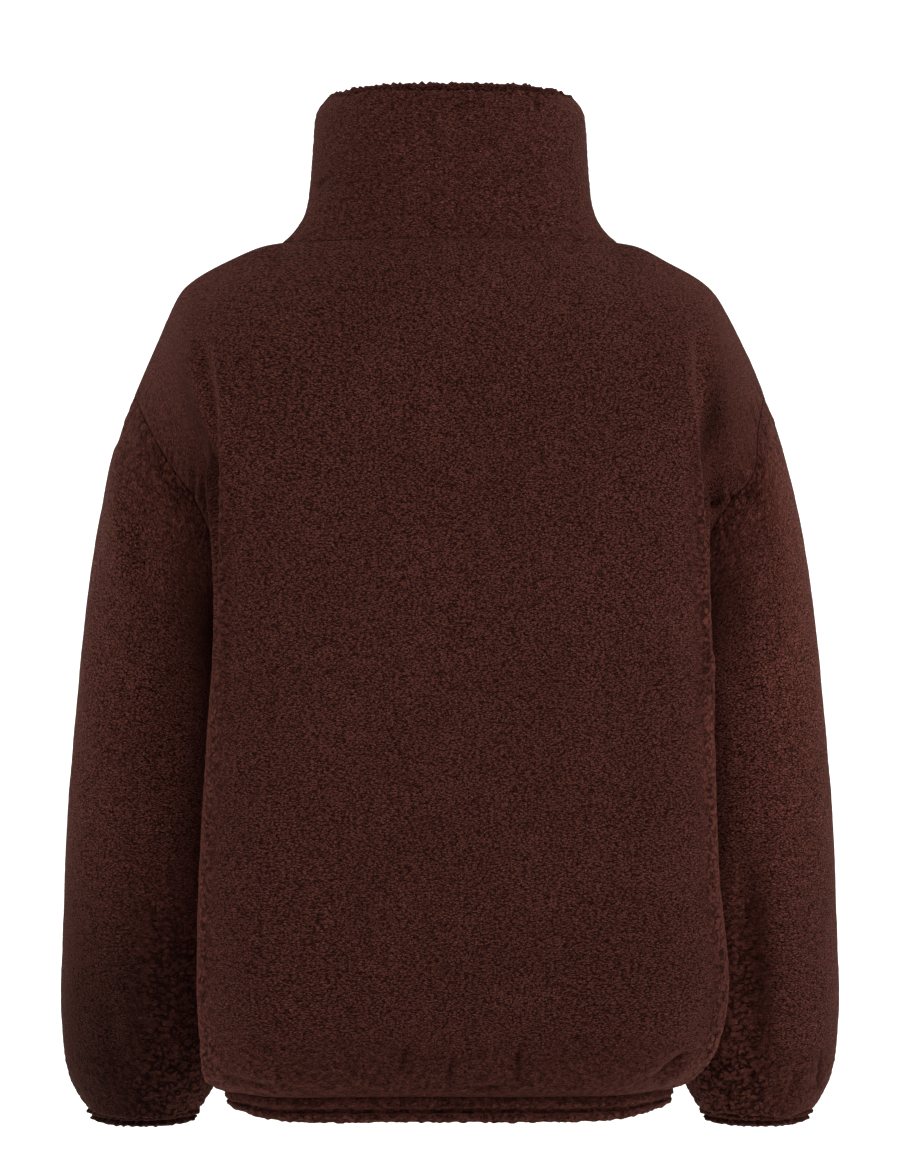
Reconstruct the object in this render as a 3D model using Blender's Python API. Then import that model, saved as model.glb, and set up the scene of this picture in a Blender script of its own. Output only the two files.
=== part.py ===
"""Fleece top with a high collar, worn shape with nobody inside, seen first from its back.

Metres, +Z up. The back faces -Y and the front faces +Y. The origin is on the body's middle line,
level with the neck seam at the back, where the wearer's shoulders hold the top.
"""
import math

import bpy
import numpy as np

# Walls and seams
WALL = 0.004
COLLAR_WALL = 0.008
COLLAR_SEAM_WALL = 0.005
BAND_WALL = 0.008
BAND_SEAM_WALL = 0.005
CUFF_WALL = 0.006
SEAM_GAP = 0.0003
LONGEST_MITRE = 2.4

# Heights on the body
UNDERARM_Z = -0.290
HEM_SEAM_Z = -0.640
HEM_DROOP_RIGHT = 0.002
HEM_DROOP_LEFT = 0.005
HEM_DROOP_TOP_Z = -0.560
HEM_BAND_HEIGHT = 0.0215
HEM_BAND_SIDE_SHARE = 0.72

# Body sections: height, back depth, front depth, crest right, crest left, crest front,
# crest depth, valley half width, side half width
BODY_SECTIONS = (
    (-0.6400, -0.1180, 0.1150, 0.1710, 0.1725, 0.1705, 0.055, 0.1690, 0.1670),
    (-0.6360, -0.1225, 0.1185, 0.1785, 0.1800, 0.1720, 0.059, 0.1685, 0.1660),
    (-0.6240, -0.1305, 0.1240, 0.1925, 0.1880, 0.1745, 0.069, 0.1670, 0.1645),
    (-0.6010, -0.1350, 0.1270, 0.2045, 0.1895, 0.1770, 0.077, 0.1655, 0.1630),
    (-0.5785, -0.1360, 0.1275, 0.2095, 0.1911, 0.1780, 0.080, 0.1645, 0.1615),
    (-0.5400, -0.1350, 0.1270, 0.2105, 0.1915, 0.1780, 0.080, 0.1635, 0.1605),
    (-0.4950, -0.1330, 0.1260, 0.2055, 0.1905, 0.1775, 0.080, 0.1630, 0.1595),
    (-0.4190, -0.1305, 0.1240, 0.2015, 0.1865, 0.1765, 0.080, 0.1620, 0.1570),
    (-0.3430, -0.1300, 0.1220, 0.1992, 0.1815, 0.1750, 0.079, 0.1600, 0.1545),
    (-0.3150, -0.1300, 0.1210, 0.1985, 0.1795, 0.1745, 0.078, 0.1620, 0.1560),
    (-0.2900, -0.1300, 0.1200, 0.1975, 0.1785, 0.1745, 0.078, 0.1675, 0.1635),
)
SIDE_DEPTH = 0.006

# Stations on a half section: share of the way round, from the middle to the side seam
STATION_SHARES = (0.0, 0.27, 0.51, 0.62, 0.70, 0.78, 0.87, 1.0)
CREST_SHARE = 0.70
NECK_SHARE = 0.44
FLAT_HALF_WIDTH = 0.085
FLAT_RISE = 0.0028
TURN_INSET = 0.042
TURN_RISE = 0.0140
CREST_LEAD = 0.012
CREST_STEP = 0.020
UNDER_WAY = 0.30
UNDER_DROP = 0.25
VALLEY_WAY = 0.62
VALLEY_DROP = 0.80
FRONT_CREST_FORWARD = 0.008

# Neck seam: share from the middle to the shoulder, half width, depth, height
BACK_NECK = (
    (0.00, 0.0000, -0.0850, 0.0056),
    (0.25, 0.0340, -0.0825, 0.0052),
    (0.50, 0.0660, -0.0735, 0.0044),
    (0.75, 0.0960, -0.0560, 0.0028),
    (0.90, 0.1160, -0.0350, 0.0004),
    (1.00, 0.1275, -0.0150, -0.0020),
)
FRONT_NECK = (
    (0.00, 0.0000, 0.0820, -0.0400),
    (0.25, 0.0340, 0.0790, -0.0385),
    (0.50, 0.0660, 0.0680, -0.0330),
    (0.75, 0.0960, 0.0470, -0.0235),
    (0.90, 0.1165, 0.0200, -0.0115),
    (1.00, 0.1275, -0.0150, -0.0020),
)

# Shoulder seam: share from neck to sleeve, half width right, half width left, depth, height
SHOULDER = (
    (0.000, 0.1275, 0.1275, -0.0150, -0.0020),
    (0.127, 0.1485, 0.1500, -0.0110, -0.0075),
    (0.223, 0.1638, 0.1685, -0.0080, -0.0130),
    (0.364, 0.1851, 0.1900, -0.0050, -0.0245),
    (0.471, 0.1997, 0.2040, -0.0030, -0.0360),
    (0.557, 0.2081, 0.2112, -0.0020, -0.0480),
    (0.709, 0.2203, 0.2215, -0.0010, -0.0710),
    (0.855, 0.2311, 0.2315, 0.0000, -0.0935),
    (1.000, 0.2403, 0.2413, 0.0000, -0.1165),
)

# Armhole seams from underarm to shoulder: share, half width, depth, height
ARMHOLE_BACK_RIGHT = (
    (0.00, 0.1635, 0.006, -0.2900),
    (0.12, 0.1730, -0.018, -0.2720),
    (0.28, 0.1895, -0.042, -0.2360),
    (0.42, 0.2070, -0.053, -0.2020),
    (0.55, 0.2233, -0.057, -0.1825),
    (0.66, 0.2312, -0.057, -0.1670),
    (0.78, 0.2332, -0.050, -0.1450),
    (0.90, 0.2368, -0.030, -0.1270),
    (1.00, 0.2403, 0.000, -0.1165),
)
ARMHOLE_BACK_LEFT = (
    (0.00, 0.1635, 0.006, -0.2900),
    (0.12, 0.1700, -0.018, -0.2720),
    (0.28, 0.1770, -0.042, -0.2380),
    (0.42, 0.1860, -0.053, -0.2080),
    (0.55, 0.1970, -0.057, -0.1870),
    (0.66, 0.2085, -0.057, -0.1710),
    (0.78, 0.2215, -0.050, -0.1510),
    (0.90, 0.2330, -0.030, -0.1310),
    (1.00, 0.2413, 0.000, -0.1165),
)
ARMHOLE_FRONT = (
    (0.00, 0.1635, 0.006, -0.2900),
    (0.12, 0.1700, 0.026, -0.2700),
    (0.28, 0.1790, 0.046, -0.2360),
    (0.42, 0.1900, 0.056, -0.2050),
    (0.55, 0.2030, 0.060, -0.1830),
    (0.66, 0.2150, 0.059, -0.1670),
    (0.78, 0.2260, 0.050, -0.1470),
    (0.90, 0.2350, 0.030, -0.1280),
    (1.00, 0.2403, 0.000, -0.1165),
)

# How the cloth arrives at the neck and shoulder: share, rise in degrees, pull
ARRIVAL = (
    (0.00, 62.0, 0.95),
    (0.27, 50.0, 1.05),
    (0.44, 30.0, 1.20),
    (0.60, 18.0, 1.35),
    (0.80, 12.0, 1.20),
    (1.00, 8.0, 1.00),
)
DEPARTURE_PULL = 1.15
FOLD_DECAY = 0.13
LOW_FADE_POWER = 4
HIGH_FADE_POWER = 5
ARMHOLE_FADE_POWER = 4

# Sleeve sections: height, middle half width, middle depth, half width, half depth
SLEEVE_SECTIONS = (
    (-0.3600, 0.2294, 0.0120, 0.0574, 0.0600),
    (-0.4000, 0.2315, 0.0145, 0.0590, 0.0625),
    (-0.4500, 0.2337, 0.0175, 0.0607, 0.0650),
    (-0.5000, 0.2349, 0.0205, 0.0617, 0.0660),
    (-0.5500, 0.2364, 0.0240, 0.0624, 0.0655),
    (-0.5900, 0.2374, 0.0270, 0.0623, 0.0640),
    (-0.6200, 0.2372, 0.0285, 0.0606, 0.0610),
    (-0.6400, 0.2368, 0.0295, 0.0578, 0.0570),
    (-0.6550, 0.2363, 0.0300, 0.0528, 0.0510),
    (-0.6640, 0.2362, 0.0300, 0.0475, 0.0450),
)
SLEEVE_TOP_Z = -0.360
SLEEVE_BLEND = (0.0, 0.10, 0.22, 0.36, 0.52, 0.68, 0.84)
SLEEVE_ROWS = (-0.360, -0.400, -0.450, -0.500, -0.550, -0.590, -0.620, -0.640, -0.655, -0.664)
SLEEVE_TURN_Z = -0.6680
SLEEVE_TURN_SCALE = 0.92
CUFF_SEAM_Z = -0.6680
CUFF_HALF_WIDTH = 0.0400
CUFF_HALF_DEPTH = 0.0360
CUFF_HEIGHT = 0.0125

# Swelling of the hem band and cuffs, and rows of a band: share down, swell, dip
BAND_PUFF = 0.0022
BAND_GROOVE = 0.0008
CUFF_PUFF = 0.0012
BAND_NARROWING_POWER = 5
BAND_ROWS = (
    (0.00, 0.0, 0.0),
    (0.14, 1.0, 0.0),
    (0.30, 1.0, 0.0),
    (0.43, 0.0, 1.0),
    (0.60, 1.0, 0.0),
    (0.82, 0.2, 0.0),
)

# Sleeve leaving the armhole: turn round it in degrees from the top, out, back, down
SLEEVE_LEAVING = (
    (0.0, 0.36, 0.00, -0.93),
    (90.0, 0.52, -0.05, -0.85),
    (180.0, 0.62, 0.00, -0.78),
    (270.0, 0.52, 0.05, -0.85),
    (360.0, 0.36, 0.00, -0.93),
)

# Long soft valleys in the sleeves: side, turn in degrees, spread, top, bottom, depth
SLEEVE_VALLEYS = (
    (1, 98.0, 16.0, -0.430, -0.660, 0.0045),
    (1, 262.0, 18.0, -0.400, -0.640, 0.0030),
    (-1, 84.0, 20.0, -0.560, -0.665, 0.0025),
    (-1, 268.0, 18.0, -0.420, -0.650, 0.0030),
)
VALLEY_TOP_EASE = 0.06
VALLEY_BOTTOM_EASE = 0.03

# Collar rings: height, half width, back depth, front depth
COLLAR_RINGS = (
    (-0.060, 0.1085, -0.0830, 0.0800),
    (0.000, 0.1075, -0.0835, 0.0810),
    (0.030, 0.1065, -0.0840, 0.0820),
    (0.060, 0.1050, -0.0855, 0.0835),
    (0.090, 0.1030, -0.0875, 0.0850),
    (0.125, 0.0990, -0.0895, 0.0860),
)
COLLAR_BACK_RIM_Z = 0.1158
COLLAR_FRONT_RIM_Z = 0.1197
COLLAR_SIDE_DIP = 0.0125
COLLAR_SIDE_DIP_POWER = 5
NECK_HALF_WIDTH = 0.1275
NECK_HALF_DEPTH = 0.0835
COLLAR_FLARE_HEIGHT = 0.014
COLLAR_STEPS = (0.0, 0.045, 0.11, 0.20, 0.34, 0.52, 0.72, 0.88, 0.962)

# Turns round a rolled edge, in degrees
EDGE_TURNS = (40.0, 90.0, 140.0, 180.0)
COLLAR_EDGE_STEP = 0.004
BAND_EDGE_STEP = 0.003
CUFF_EDGE_STEP = 0.002

# Rows of the outside that the inside repeats, from the rolled edge back to the seam
COLLAR_INNER_ROWS = (7, 5, 3)
BAND_INNER_ROWS = (3,)

# Grid of the panels: columns from the middle to the side, rows up the body
COLUMNS = (0.0, 0.09, 0.18, 0.27, 0.355, 0.44, 0.505, 0.565, 0.62, 0.665, 0.705, 0.75,
           0.80, 0.86, 0.93, 1.0)
LOWER_ROWS = (-0.6400, -0.6360, -0.6300, -0.6200, -0.6040, -0.5800, -0.5450, -0.5000,
              -0.4500, -0.4000, -0.3550, -0.3180)
UPPER_ROWS = (0.0, 0.07, 0.15, 0.24, 0.33, 0.42, 0.51, 0.60, 0.69, 0.78, 0.86, 0.935, 1.0)

BACK = -1
FRONT = 1
NUDGE = 0.002
TINY = 1e-9
MICRONS = 1e6
FLEECE_BROWN = (0.046, 0.0150, 0.0110, 1.0)
FLEECE_ROUGHNESS = 0.95
FLEECE_SHEEN = 0.3
COLLECTION_NAME = "fleece_top"


def table_column(rows, column):
    """One column of a table as numbers."""
    return np.array([row[column] for row in rows], dtype=float)


def natural_bends(knots, values):
    """Second slopes of the smoothest curve through the values."""
    count = len(knots)
    system = np.zeros((count, count))
    right = np.zeros((count,) + values.shape[1:])
    system[0, 0] = 1.0
    system[-1, -1] = 1.0
    steps = np.diff(knots)
    for i in range(1, count - 1):
        before = steps[i - 1]
        after = steps[i]
        system[i, i - 1] = before
        system[i, i] = 2.0 * (before + after)
        system[i, i + 1] = after
        rise_after = (values[i + 1] - values[i]) / after
        rise_before = (values[i] - values[i - 1]) / before
        right[i] = 6.0 * (rise_after - rise_before)
    return np.linalg.solve(system, right)


def curve_through(knots, values, at):
    """Smooth curve through values at rising knots, read at the places in at."""
    knots = np.asarray(knots, dtype=float)
    values = np.asarray(values, dtype=float)
    if values.ndim == 1:
        values = values[:, None]
    bends = natural_bends(knots, values)
    at = np.atleast_1d(np.asarray(at, dtype=float))
    cell = np.clip(np.searchsorted(knots, at, side="right") - 1, 0, len(knots) - 2)
    step = (knots[cell + 1] - knots[cell])[:, None]
    ahead = (knots[cell + 1] - at)[:, None] / step
    behind = 1.0 - ahead
    bow = (ahead ** 3 - ahead) * bends[cell] + (behind ** 3 - behind) * bends[cell + 1]
    return ahead * values[cell] + behind * values[cell + 1] + bow * step ** 2 / 6.0


def curve_by_length(knots, points, at):
    """Smooth curve spaced by its own length, read at places given on the knots."""
    lengths = np.concatenate([[0.0], np.cumsum(np.linalg.norm(np.diff(points, axis=0), axis=1))])
    return curve_through(lengths, points, np.interp(at, knots, lengths))


def closed_curve_through(knots, points, period, at):
    """Smooth closed curve, made by running the points round three times."""
    knots = np.asarray(knots, dtype=float)
    long_knots = np.concatenate([knots - period, knots, knots + period])
    long_points = np.concatenate([points, points, points])
    return curve_by_length(long_knots, long_points, np.mod(at, period))


def smooth_step(share):
    """Ease from 0 to 1."""
    share = np.clip(share, 0.0, 1.0)
    return share * share * (3.0 - 2.0 * share)


def unit(vectors):
    """Vectors at length one."""
    lengths = np.linalg.norm(vectors, axis=-1, keepdims=True)
    return vectors / np.maximum(lengths, 1e-12)


def hermite(start, leaving, end, arriving, share):
    """Point on the curve with these ends and end directions."""
    squared = share * share
    cubed = squared * share
    start_part = (2.0 * cubed - 3.0 * squared + 1.0) * start
    leaving_part = (cubed - 2.0 * squared + share) * leaving
    end_part = (3.0 * squared - 2.0 * cubed) * end
    arriving_part = (cubed - squared) * arriving
    return start_part + leaving_part + end_part + arriving_part


def half_stations(crest, valley, side, crest_depth, middle_depth, facing):
    """Plan points from the middle of one face to its side seam."""
    drop = crest - valley
    level = facing * crest_depth
    if facing == FRONT:
        level += FRONT_CREST_FORWARD
    to_side = SIDE_DEPTH - level
    middle = middle_depth
    return [
        (0.0, middle),
        (FLAT_HALF_WIDTH, middle - facing * FLAT_RISE),
        (crest - TURN_INSET, middle - facing * TURN_RISE),
        (crest - CREST_LEAD, level + facing * CREST_STEP),
        (crest, level),
        (crest - UNDER_DROP * drop, level + UNDER_WAY * to_side),
        (crest - VALLEY_DROP * drop, level + VALLEY_WAY * to_side),
        (side, SIDE_DEPTH),
    ]


def section_ring(height):
    """Knots and plan points all round the body at a height."""
    heights = table_column(BODY_SECTIONS, 0)
    columns = np.array([row[1:] for row in BODY_SECTIONS])
    found = curve_through(heights, columns, height)[0]
    back_depth, front_depth, crest_right, crest_left, crest_front, level, valley, side = found
    back_right = half_stations(crest_right, valley, side, level, back_depth, BACK)
    back_left = half_stations(crest_left, valley, side, level, back_depth, BACK)
    front = half_stations(crest_front, valley, side, level, front_depth, FRONT)
    knots = []
    points = []
    for share, point in zip(STATION_SHARES, back_right):
        knots.append(share)
        points.append(point)
    for share, point in reversed(list(zip(STATION_SHARES, front))[:-1]):
        knots.append(2.0 - share)
        points.append(point)
    for share, point in list(zip(STATION_SHARES, front))[1:]:
        knots.append(2.0 + share)
        points.append((-point[0], point[1]))
    for share, point in reversed(list(zip(STATION_SHARES, back_left))[1:-1]):
        knots.append(4.0 - share)
        points.append((-point[0], point[1]))
    return np.array(knots), np.array(points)


def ring_place(facing, shares):
    """Place round the whole ring, 0 to 4, of shares -1 to 1 across one panel."""
    shares = np.asarray(shares, dtype=float)
    if facing == BACK:
        return np.mod(shares, 4.0)
    return 2.0 - shares


def lower_points(facing, shares, height):
    """Points of a panel below the underarm at one table height."""
    shares = np.atleast_1d(np.asarray(shares, dtype=float))
    knots, points = section_ring(height)
    plan = closed_curve_through(knots, points, 4.0, ring_place(facing, shares))
    fade = smooth_step((HEM_DROOP_TOP_Z - height) / (HEM_DROOP_TOP_Z - HEM_SEAM_Z))
    side_droop = np.where(shares > 0.0, HEM_DROOP_RIGHT, HEM_DROOP_LEFT)
    droop = side_droop * fade * np.sin(np.abs(shares) * math.pi / 2.0) ** 2
    return np.column_stack([plan[:, 0], plan[:, 1], height - droop])


def top_edge(facing, shares):
    """Neck seam, then shoulder seam, for shares -1 to 1 across a panel."""
    shares = np.atleast_1d(np.asarray(shares, dtype=float))
    neck = BACK_NECK if facing == BACK else FRONT_NECK
    result = np.zeros((len(shares), 3))
    for i, share in enumerate(shares):
        side = 1.0 if share >= 0.0 else -1.0
        size = abs(share)
        if size <= NECK_SHARE:
            place = size / NECK_SHARE
            mirrored = [(-row[0], -row[1], row[2], row[3]) for row in reversed(neck[1:])]
            rows = mirrored + list(neck)
            found = curve_through(table_column(rows, 0), np.array([r[1:] for r in rows]), place)[0]
            result[i] = (side * found[0], found[1], found[2])
        else:
            place = (size - NECK_SHARE) / (1.0 - NECK_SHARE)
            width = 1 if side > 0.0 else 2
            columns = np.array([(row[width], row[3], row[4]) for row in SHOULDER])
            found = curve_through(table_column(SHOULDER, 0), columns, place)[0]
            result[i] = (side * found[0], found[1], found[2])
    return result


def armhole_edge(facing, side, share):
    """Point on an armhole seam, from the underarm at 0 to the shoulder at 1."""
    rows = ARMHOLE_FRONT
    if facing == BACK:
        rows = ARMHOLE_BACK_RIGHT if side > 0 else ARMHOLE_BACK_LEFT
    found = curve_through(table_column(rows, 0), np.array([row[1:] for row in rows]), share)[0]
    end_width = SHOULDER[-1][1] if side > 0 else SHOULDER[-1][2]
    width = found[0] + (end_width - rows[-1][1]) * share ** ARMHOLE_FADE_POWER
    return np.array([side * width, found[1], found[2]])


def column_curve(facing, share, climb):
    """Column of cloth from the underarm level over to the neck or shoulder."""
    low = lower_points(facing, share, UNDERARM_Z)[0]
    below = lower_points(facing, share, UNDERARM_Z - NUDGE)[0]
    high = top_edge(facing, share)[0]
    reach = np.linalg.norm(high - low)
    leaving = unit(low - below) * reach * DEPARTURE_PULL
    rise, pull = curve_through(
        table_column(ARRIVAL, 0), np.array([row[1:] for row in ARRIVAL]), abs(share))[0]
    angle = math.radians(rise)
    arriving = np.array([0.0, -facing * math.cos(angle), math.sin(angle)]) * reach * pull
    return hermite(low, leaving, high, arriving, climb)


def rail_points(facing, climb):
    """Shares and points of the named columns at one climb, left side to right side."""
    shares = []
    points = []
    for side in (-1.0, 1.0):
        crest = column_curve(facing, side * CREST_SHARE, climb)
        seam = armhole_edge(facing, side, climb)
        low_crest = lower_points(facing, side * CREST_SHARE, UNDERARM_Z)[0]
        low_seam = lower_points(facing, side, UNDERARM_Z)[0]
        high_crest = top_edge(facing, side * CREST_SHARE)[0]
        high_seam = top_edge(facing, side)[0]
        rows = []
        for share in STATION_SHARES:
            if share == 0.0 and side < 0.0:
                continue
            if share <= CREST_SHARE:
                rows.append((side * share, column_curve(facing, side * share, climb)))
                continue
            across = (share - CREST_SHARE) / (1.0 - CREST_SHARE)
            low = lower_points(facing, side * share, UNDERARM_Z)[0]
            high = top_edge(facing, side * share)[0]
            low_bow = low - (low_crest + across * (low_seam - low_crest))
            high_bow = high - (high_crest + across * (high_seam - high_crest))
            point = crest + across * (seam - crest)
            point = point + low_bow * math.exp(-climb / FOLD_DECAY) * (1.0 - climb)
            point = point + high_bow * climb ** 2
            rows.append((side * share, point))
        if side < 0.0:
            rows.reverse()
        shares += [row[0] for row in rows]
        points += [row[1] for row in rows]
    return np.array(shares), np.array(points)


def upper_points(facing, shares, climb):
    """Points of a panel above the underarm, climb 0 at the underarm level to 1 at the top."""
    shares = np.atleast_1d(np.asarray(shares, dtype=float))
    knots, rails = rail_points(facing, climb)
    surface = curve_by_length(knots, rails, shares)
    low_knots, low_rails = rail_points(facing, 0.0)
    low_miss = lower_points(facing, shares, UNDERARM_Z) - curve_by_length(low_knots, low_rails, shares)
    high_knots, high_rails = rail_points(facing, 1.0)
    high_miss = top_edge(facing, shares) - curve_by_length(high_knots, high_rails, shares)
    low_part = low_miss * (1.0 - climb) ** LOW_FADE_POWER
    high_part = high_miss * climb ** HIGH_FADE_POWER
    return surface + low_part + high_part


def panel_rows():
    """Row places: below 1 the share of the lower body, above 1 the climb plus one."""
    span = UNDERARM_Z - HEM_SEAM_Z
    rows = [(height - HEM_SEAM_Z) / span for height in LOWER_ROWS]
    return rows + [1.0 + climb for climb in UPPER_ROWS]


def panel_points(facing, shares, row):
    """Points across a panel at a row place."""
    if row <= 1.0:
        return lower_points(facing, shares, HEM_SEAM_Z + row * (UNDERARM_Z - HEM_SEAM_Z))
    return upper_points(facing, shares, row - 1.0)


def panel_grid(facing):
    """Outer points and outward directions of one panel, rows by columns."""
    shares = np.array([-share for share in reversed(COLUMNS[1:])] + list(COLUMNS))
    rows = panel_rows()
    points = np.zeros((len(rows), len(shares), 3))
    outward = np.zeros_like(points)
    for i, row in enumerate(rows):
        points[i] = panel_points(facing, shares, row)
        below = max(row - NUDGE, 0.0)
        above = min(row + NUDGE, 2.0)
        up = panel_points(facing, shares, above) - panel_points(facing, shares, below)
        left = panel_points(facing, np.maximum(shares - NUDGE, -1.0), row)
        right = panel_points(facing, np.minimum(shares + NUDGE, 1.0), row)
        across = right - left
        normal = np.cross(across, up) if facing == BACK else np.cross(up, across)
        outward[i] = unit(normal)
    return shares, points, outward


def sleeve_section(turn, height):
    """Point at a turn in radians round the free part of the right sleeve."""
    heights = table_column(SLEEVE_SECTIONS, 0)
    columns = np.array([row[1:] for row in SLEEVE_SECTIONS])
    order = np.argsort(heights)
    middle, depth, wide, deep = curve_through(heights[order], columns[order], height)[0]
    x = middle + wide * math.cos(turn)
    y = depth - deep * math.sin(turn)
    return np.array([x, y, height])


def sleeve_point(side, turn, start, row):
    """Point on a sleeve: row below 1 leaves the armhole, above 1 is a height below it."""
    mirror = np.array([side, 1.0, 1.0])
    if row < 1.0:
        degrees = math.degrees(turn)
        table = np.array([line[1:] for line in SLEEVE_LEAVING])
        leaving = unit(curve_through(table_column(SLEEVE_LEAVING, 0), table, degrees)[0])
        end = sleeve_section(turn, SLEEVE_TOP_Z)
        further = sleeve_section(turn, SLEEVE_TOP_Z - NUDGE)
        begin = start * mirror
        reach = np.linalg.norm(end - begin)
        arriving = unit(further - end) * reach
        return hermite(begin, leaving * reach, end, arriving, row) * mirror
    height = SLEEVE_TOP_Z - (row - 1.0)
    point = sleeve_section(turn, height)
    centre = (sleeve_section(0.0, height) + sleeve_section(math.pi, height)) / 2.0
    inward = 0.0
    for valley_side, degrees, spread, top, bottom, depth in SLEEVE_VALLEYS:
        if valley_side != side:
            continue
        off = (math.degrees(turn) - degrees) / spread
        ease = smooth_step((top - height) / VALLEY_TOP_EASE)
        ease *= smooth_step((height - bottom) / VALLEY_BOTTOM_EASE)
        inward += depth * math.exp(-off * off) * ease
    point = point + unit(centre - point) * inward
    return point * mirror


def sleeve_grid(side, back_points, front_points):
    """Outer points and outward directions of a sleeve, rows by stations."""
    column = -1 if side > 0 else 0
    first_upper = len(LOWER_ROWS)
    back_edge = back_points[first_upper:, column]
    front_edge = front_points[first_upper:, column]
    climbs = np.array(UPPER_ROWS)
    starts = list(back_edge[::-1]) + list(front_edge[1:-1])
    turns = list(math.pi * (1.0 - climbs[::-1]))
    turns += list(math.pi * (1.0 + climbs[1:-1]))
    rows = list(SLEEVE_BLEND)
    rows += [1.0 + SLEEVE_TOP_Z - height for height in SLEEVE_ROWS]
    grid = np.array([[sleeve_point(side, turn, start, row)
                      for turn, start in zip(turns, starts)] for row in rows])
    grid[0] = np.array(starts)
    turned = []
    seam = []
    for turn in turns:
        low = sleeve_section(turn, SLEEVE_ROWS[-1])
        centre = (sleeve_section(0.0, SLEEVE_ROWS[-1]) + sleeve_section(math.pi, SLEEVE_ROWS[-1])) / 2.0
        inner = centre + (low - centre) * SLEEVE_TURN_SCALE
        turned.append((side * inner[0], inner[1], SLEEVE_TURN_Z))
        x = centre[0] + CUFF_HALF_WIDTH * math.cos(turn)
        y = centre[1] - CUFF_HALF_DEPTH * math.sin(turn)
        seam.append((side * x, y, CUFF_SEAM_Z))
    grid = np.concatenate([grid, [np.array(turned)], [np.array(seam)]])
    return grid


def grid_normals(grid, wrap, flip):
    """Outward directions at the points of a grid from its neighbours."""
    down = np.gradient(grid, axis=0)
    if wrap:
        round_it = (np.roll(grid, -1, axis=1) - np.roll(grid, 1, axis=1)) / 2.0
    else:
        round_it = np.gradient(grid, axis=1)
    normal = np.cross(down, round_it)
    return unit(normal) * (-1.0 if flip else 1.0)


SEAM_NORMALS = {}


def seam_key(point):
    """Name of a seam point shared by the pieces that meet there."""
    return tuple(int(round(value * MICRONS)) for value in point)


def note_seam(points, normals, weights):
    """Remember which way each piece faces at its seam points."""
    for point, normal, weight in zip(points, normals, weights):
        key = seam_key(point)
        total = SEAM_NORMALS.get(key, np.zeros(3))
        SEAM_NORMALS[key] = total + normal * weight


def seam_inward(point, normal, wall):
    """Inner point of a mitred wall edge at a seam point."""
    direction = -unit(SEAM_NORMALS[seam_key(point)])
    lean = max(float(-direction @ normal), 1.0 / LONGEST_MITRE)
    return point + direction * wall / lean


def edge_shift(points, inner, neighbours, wrap):
    """Half the seam gap, away from the piece on the other side of each edge."""
    if wrap:
        along = np.roll(points, -1, axis=0) - np.roll(points, 1, axis=0)
    else:
        along = np.gradient(points, axis=0)
    across = np.cross(unit(along), unit(inner - points))
    across = unit(across)
    sign = np.sign(np.sum(across * (neighbours - points), axis=1))
    return across * sign[:, None] * SEAM_GAP / 2.0


def panel_edges(points):
    """Index pairs along the four edges of a panel grid."""
    rows, columns = points.shape[:2]
    bottom = [(0, j) for j in range(columns)]
    top = [(rows - 1, j) for j in range(columns)]
    left = [(i, 0) for i in range(rows)]
    right = [(i, columns - 1) for i in range(rows)]
    return bottom, top, left, right


def note_panel(points, normals, shares):
    """Remember how a panel faces along its whole edge."""
    rows, columns = points.shape[:2]
    underarm_row = len(LOWER_ROWS)
    edge = set()
    for part in panel_edges(points):
        edge.update(part)
    for i, j in edge:
        corner = j in (0, columns - 1) and i in (0, underarm_row, rows - 1)
        neck_corner = i == rows - 1 and abs(abs(shares[j]) - NECK_SHARE) < TINY
        weight = 0.5 if corner or neck_corner else 1.0
        note_seam([points[i, j]], [normals[i, j]], [weight])


def panel_walls(points, normals):
    """Outer and inner grids of a panel, mitred and spaced at its seams."""
    outer = points.copy()
    inner = points - normals * WALL
    edges = panel_edges(points)
    for part in edges:
        for i, j in part:
            inner[i, j] = seam_inward(points[i, j], normals[i, j], WALL)
    shift = np.zeros_like(points)
    steps = ((1, 0), (-1, 0), (0, 1), (0, -1))
    for part, step in zip(edges, steps):
        rows = np.array([i for i, _ in part])
        columns = np.array([j for _, j in part])
        line = points[rows, columns]
        low = inner[rows, columns]
        next_line = points[rows + step[0], columns + step[1]]
        moved = edge_shift(line, low, next_line, False)
        shift[rows, columns] += moved
    return outer + shift, inner + shift


def tube_walls(points, normals, wall, ends):
    """Outer and inner grids of a tube of cloth, mitred and spaced at the named ends."""
    inner = points - normals * wall
    shift = np.zeros_like(points)
    for row, step in ends:
        for j in range(points.shape[1]):
            inner[row, j] = seam_inward(points[row, j], normals[row, j], wall)
        shift[row] = edge_shift(points[row], inner[row], points[row + step], True)
    return points + shift, inner + shift


def add_quad(faces, a, b, c, d, flip):
    """Two triangles of a quad, always cut from a to c."""
    if flip:
        faces.append((a, c, b))
        faces.append((a, d, c))
    else:
        faces.append((a, b, c))
        faces.append((a, c, d))


def add_rim(faces, a, b, c, d, flip, swap):
    """Two triangles of an edge quad, cut the way its neighbour across the seam is cut."""
    if swap:
        add_quad(faces, b, c, d, a, flip)
    else:
        add_quad(faces, a, b, c, d, flip)


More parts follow.
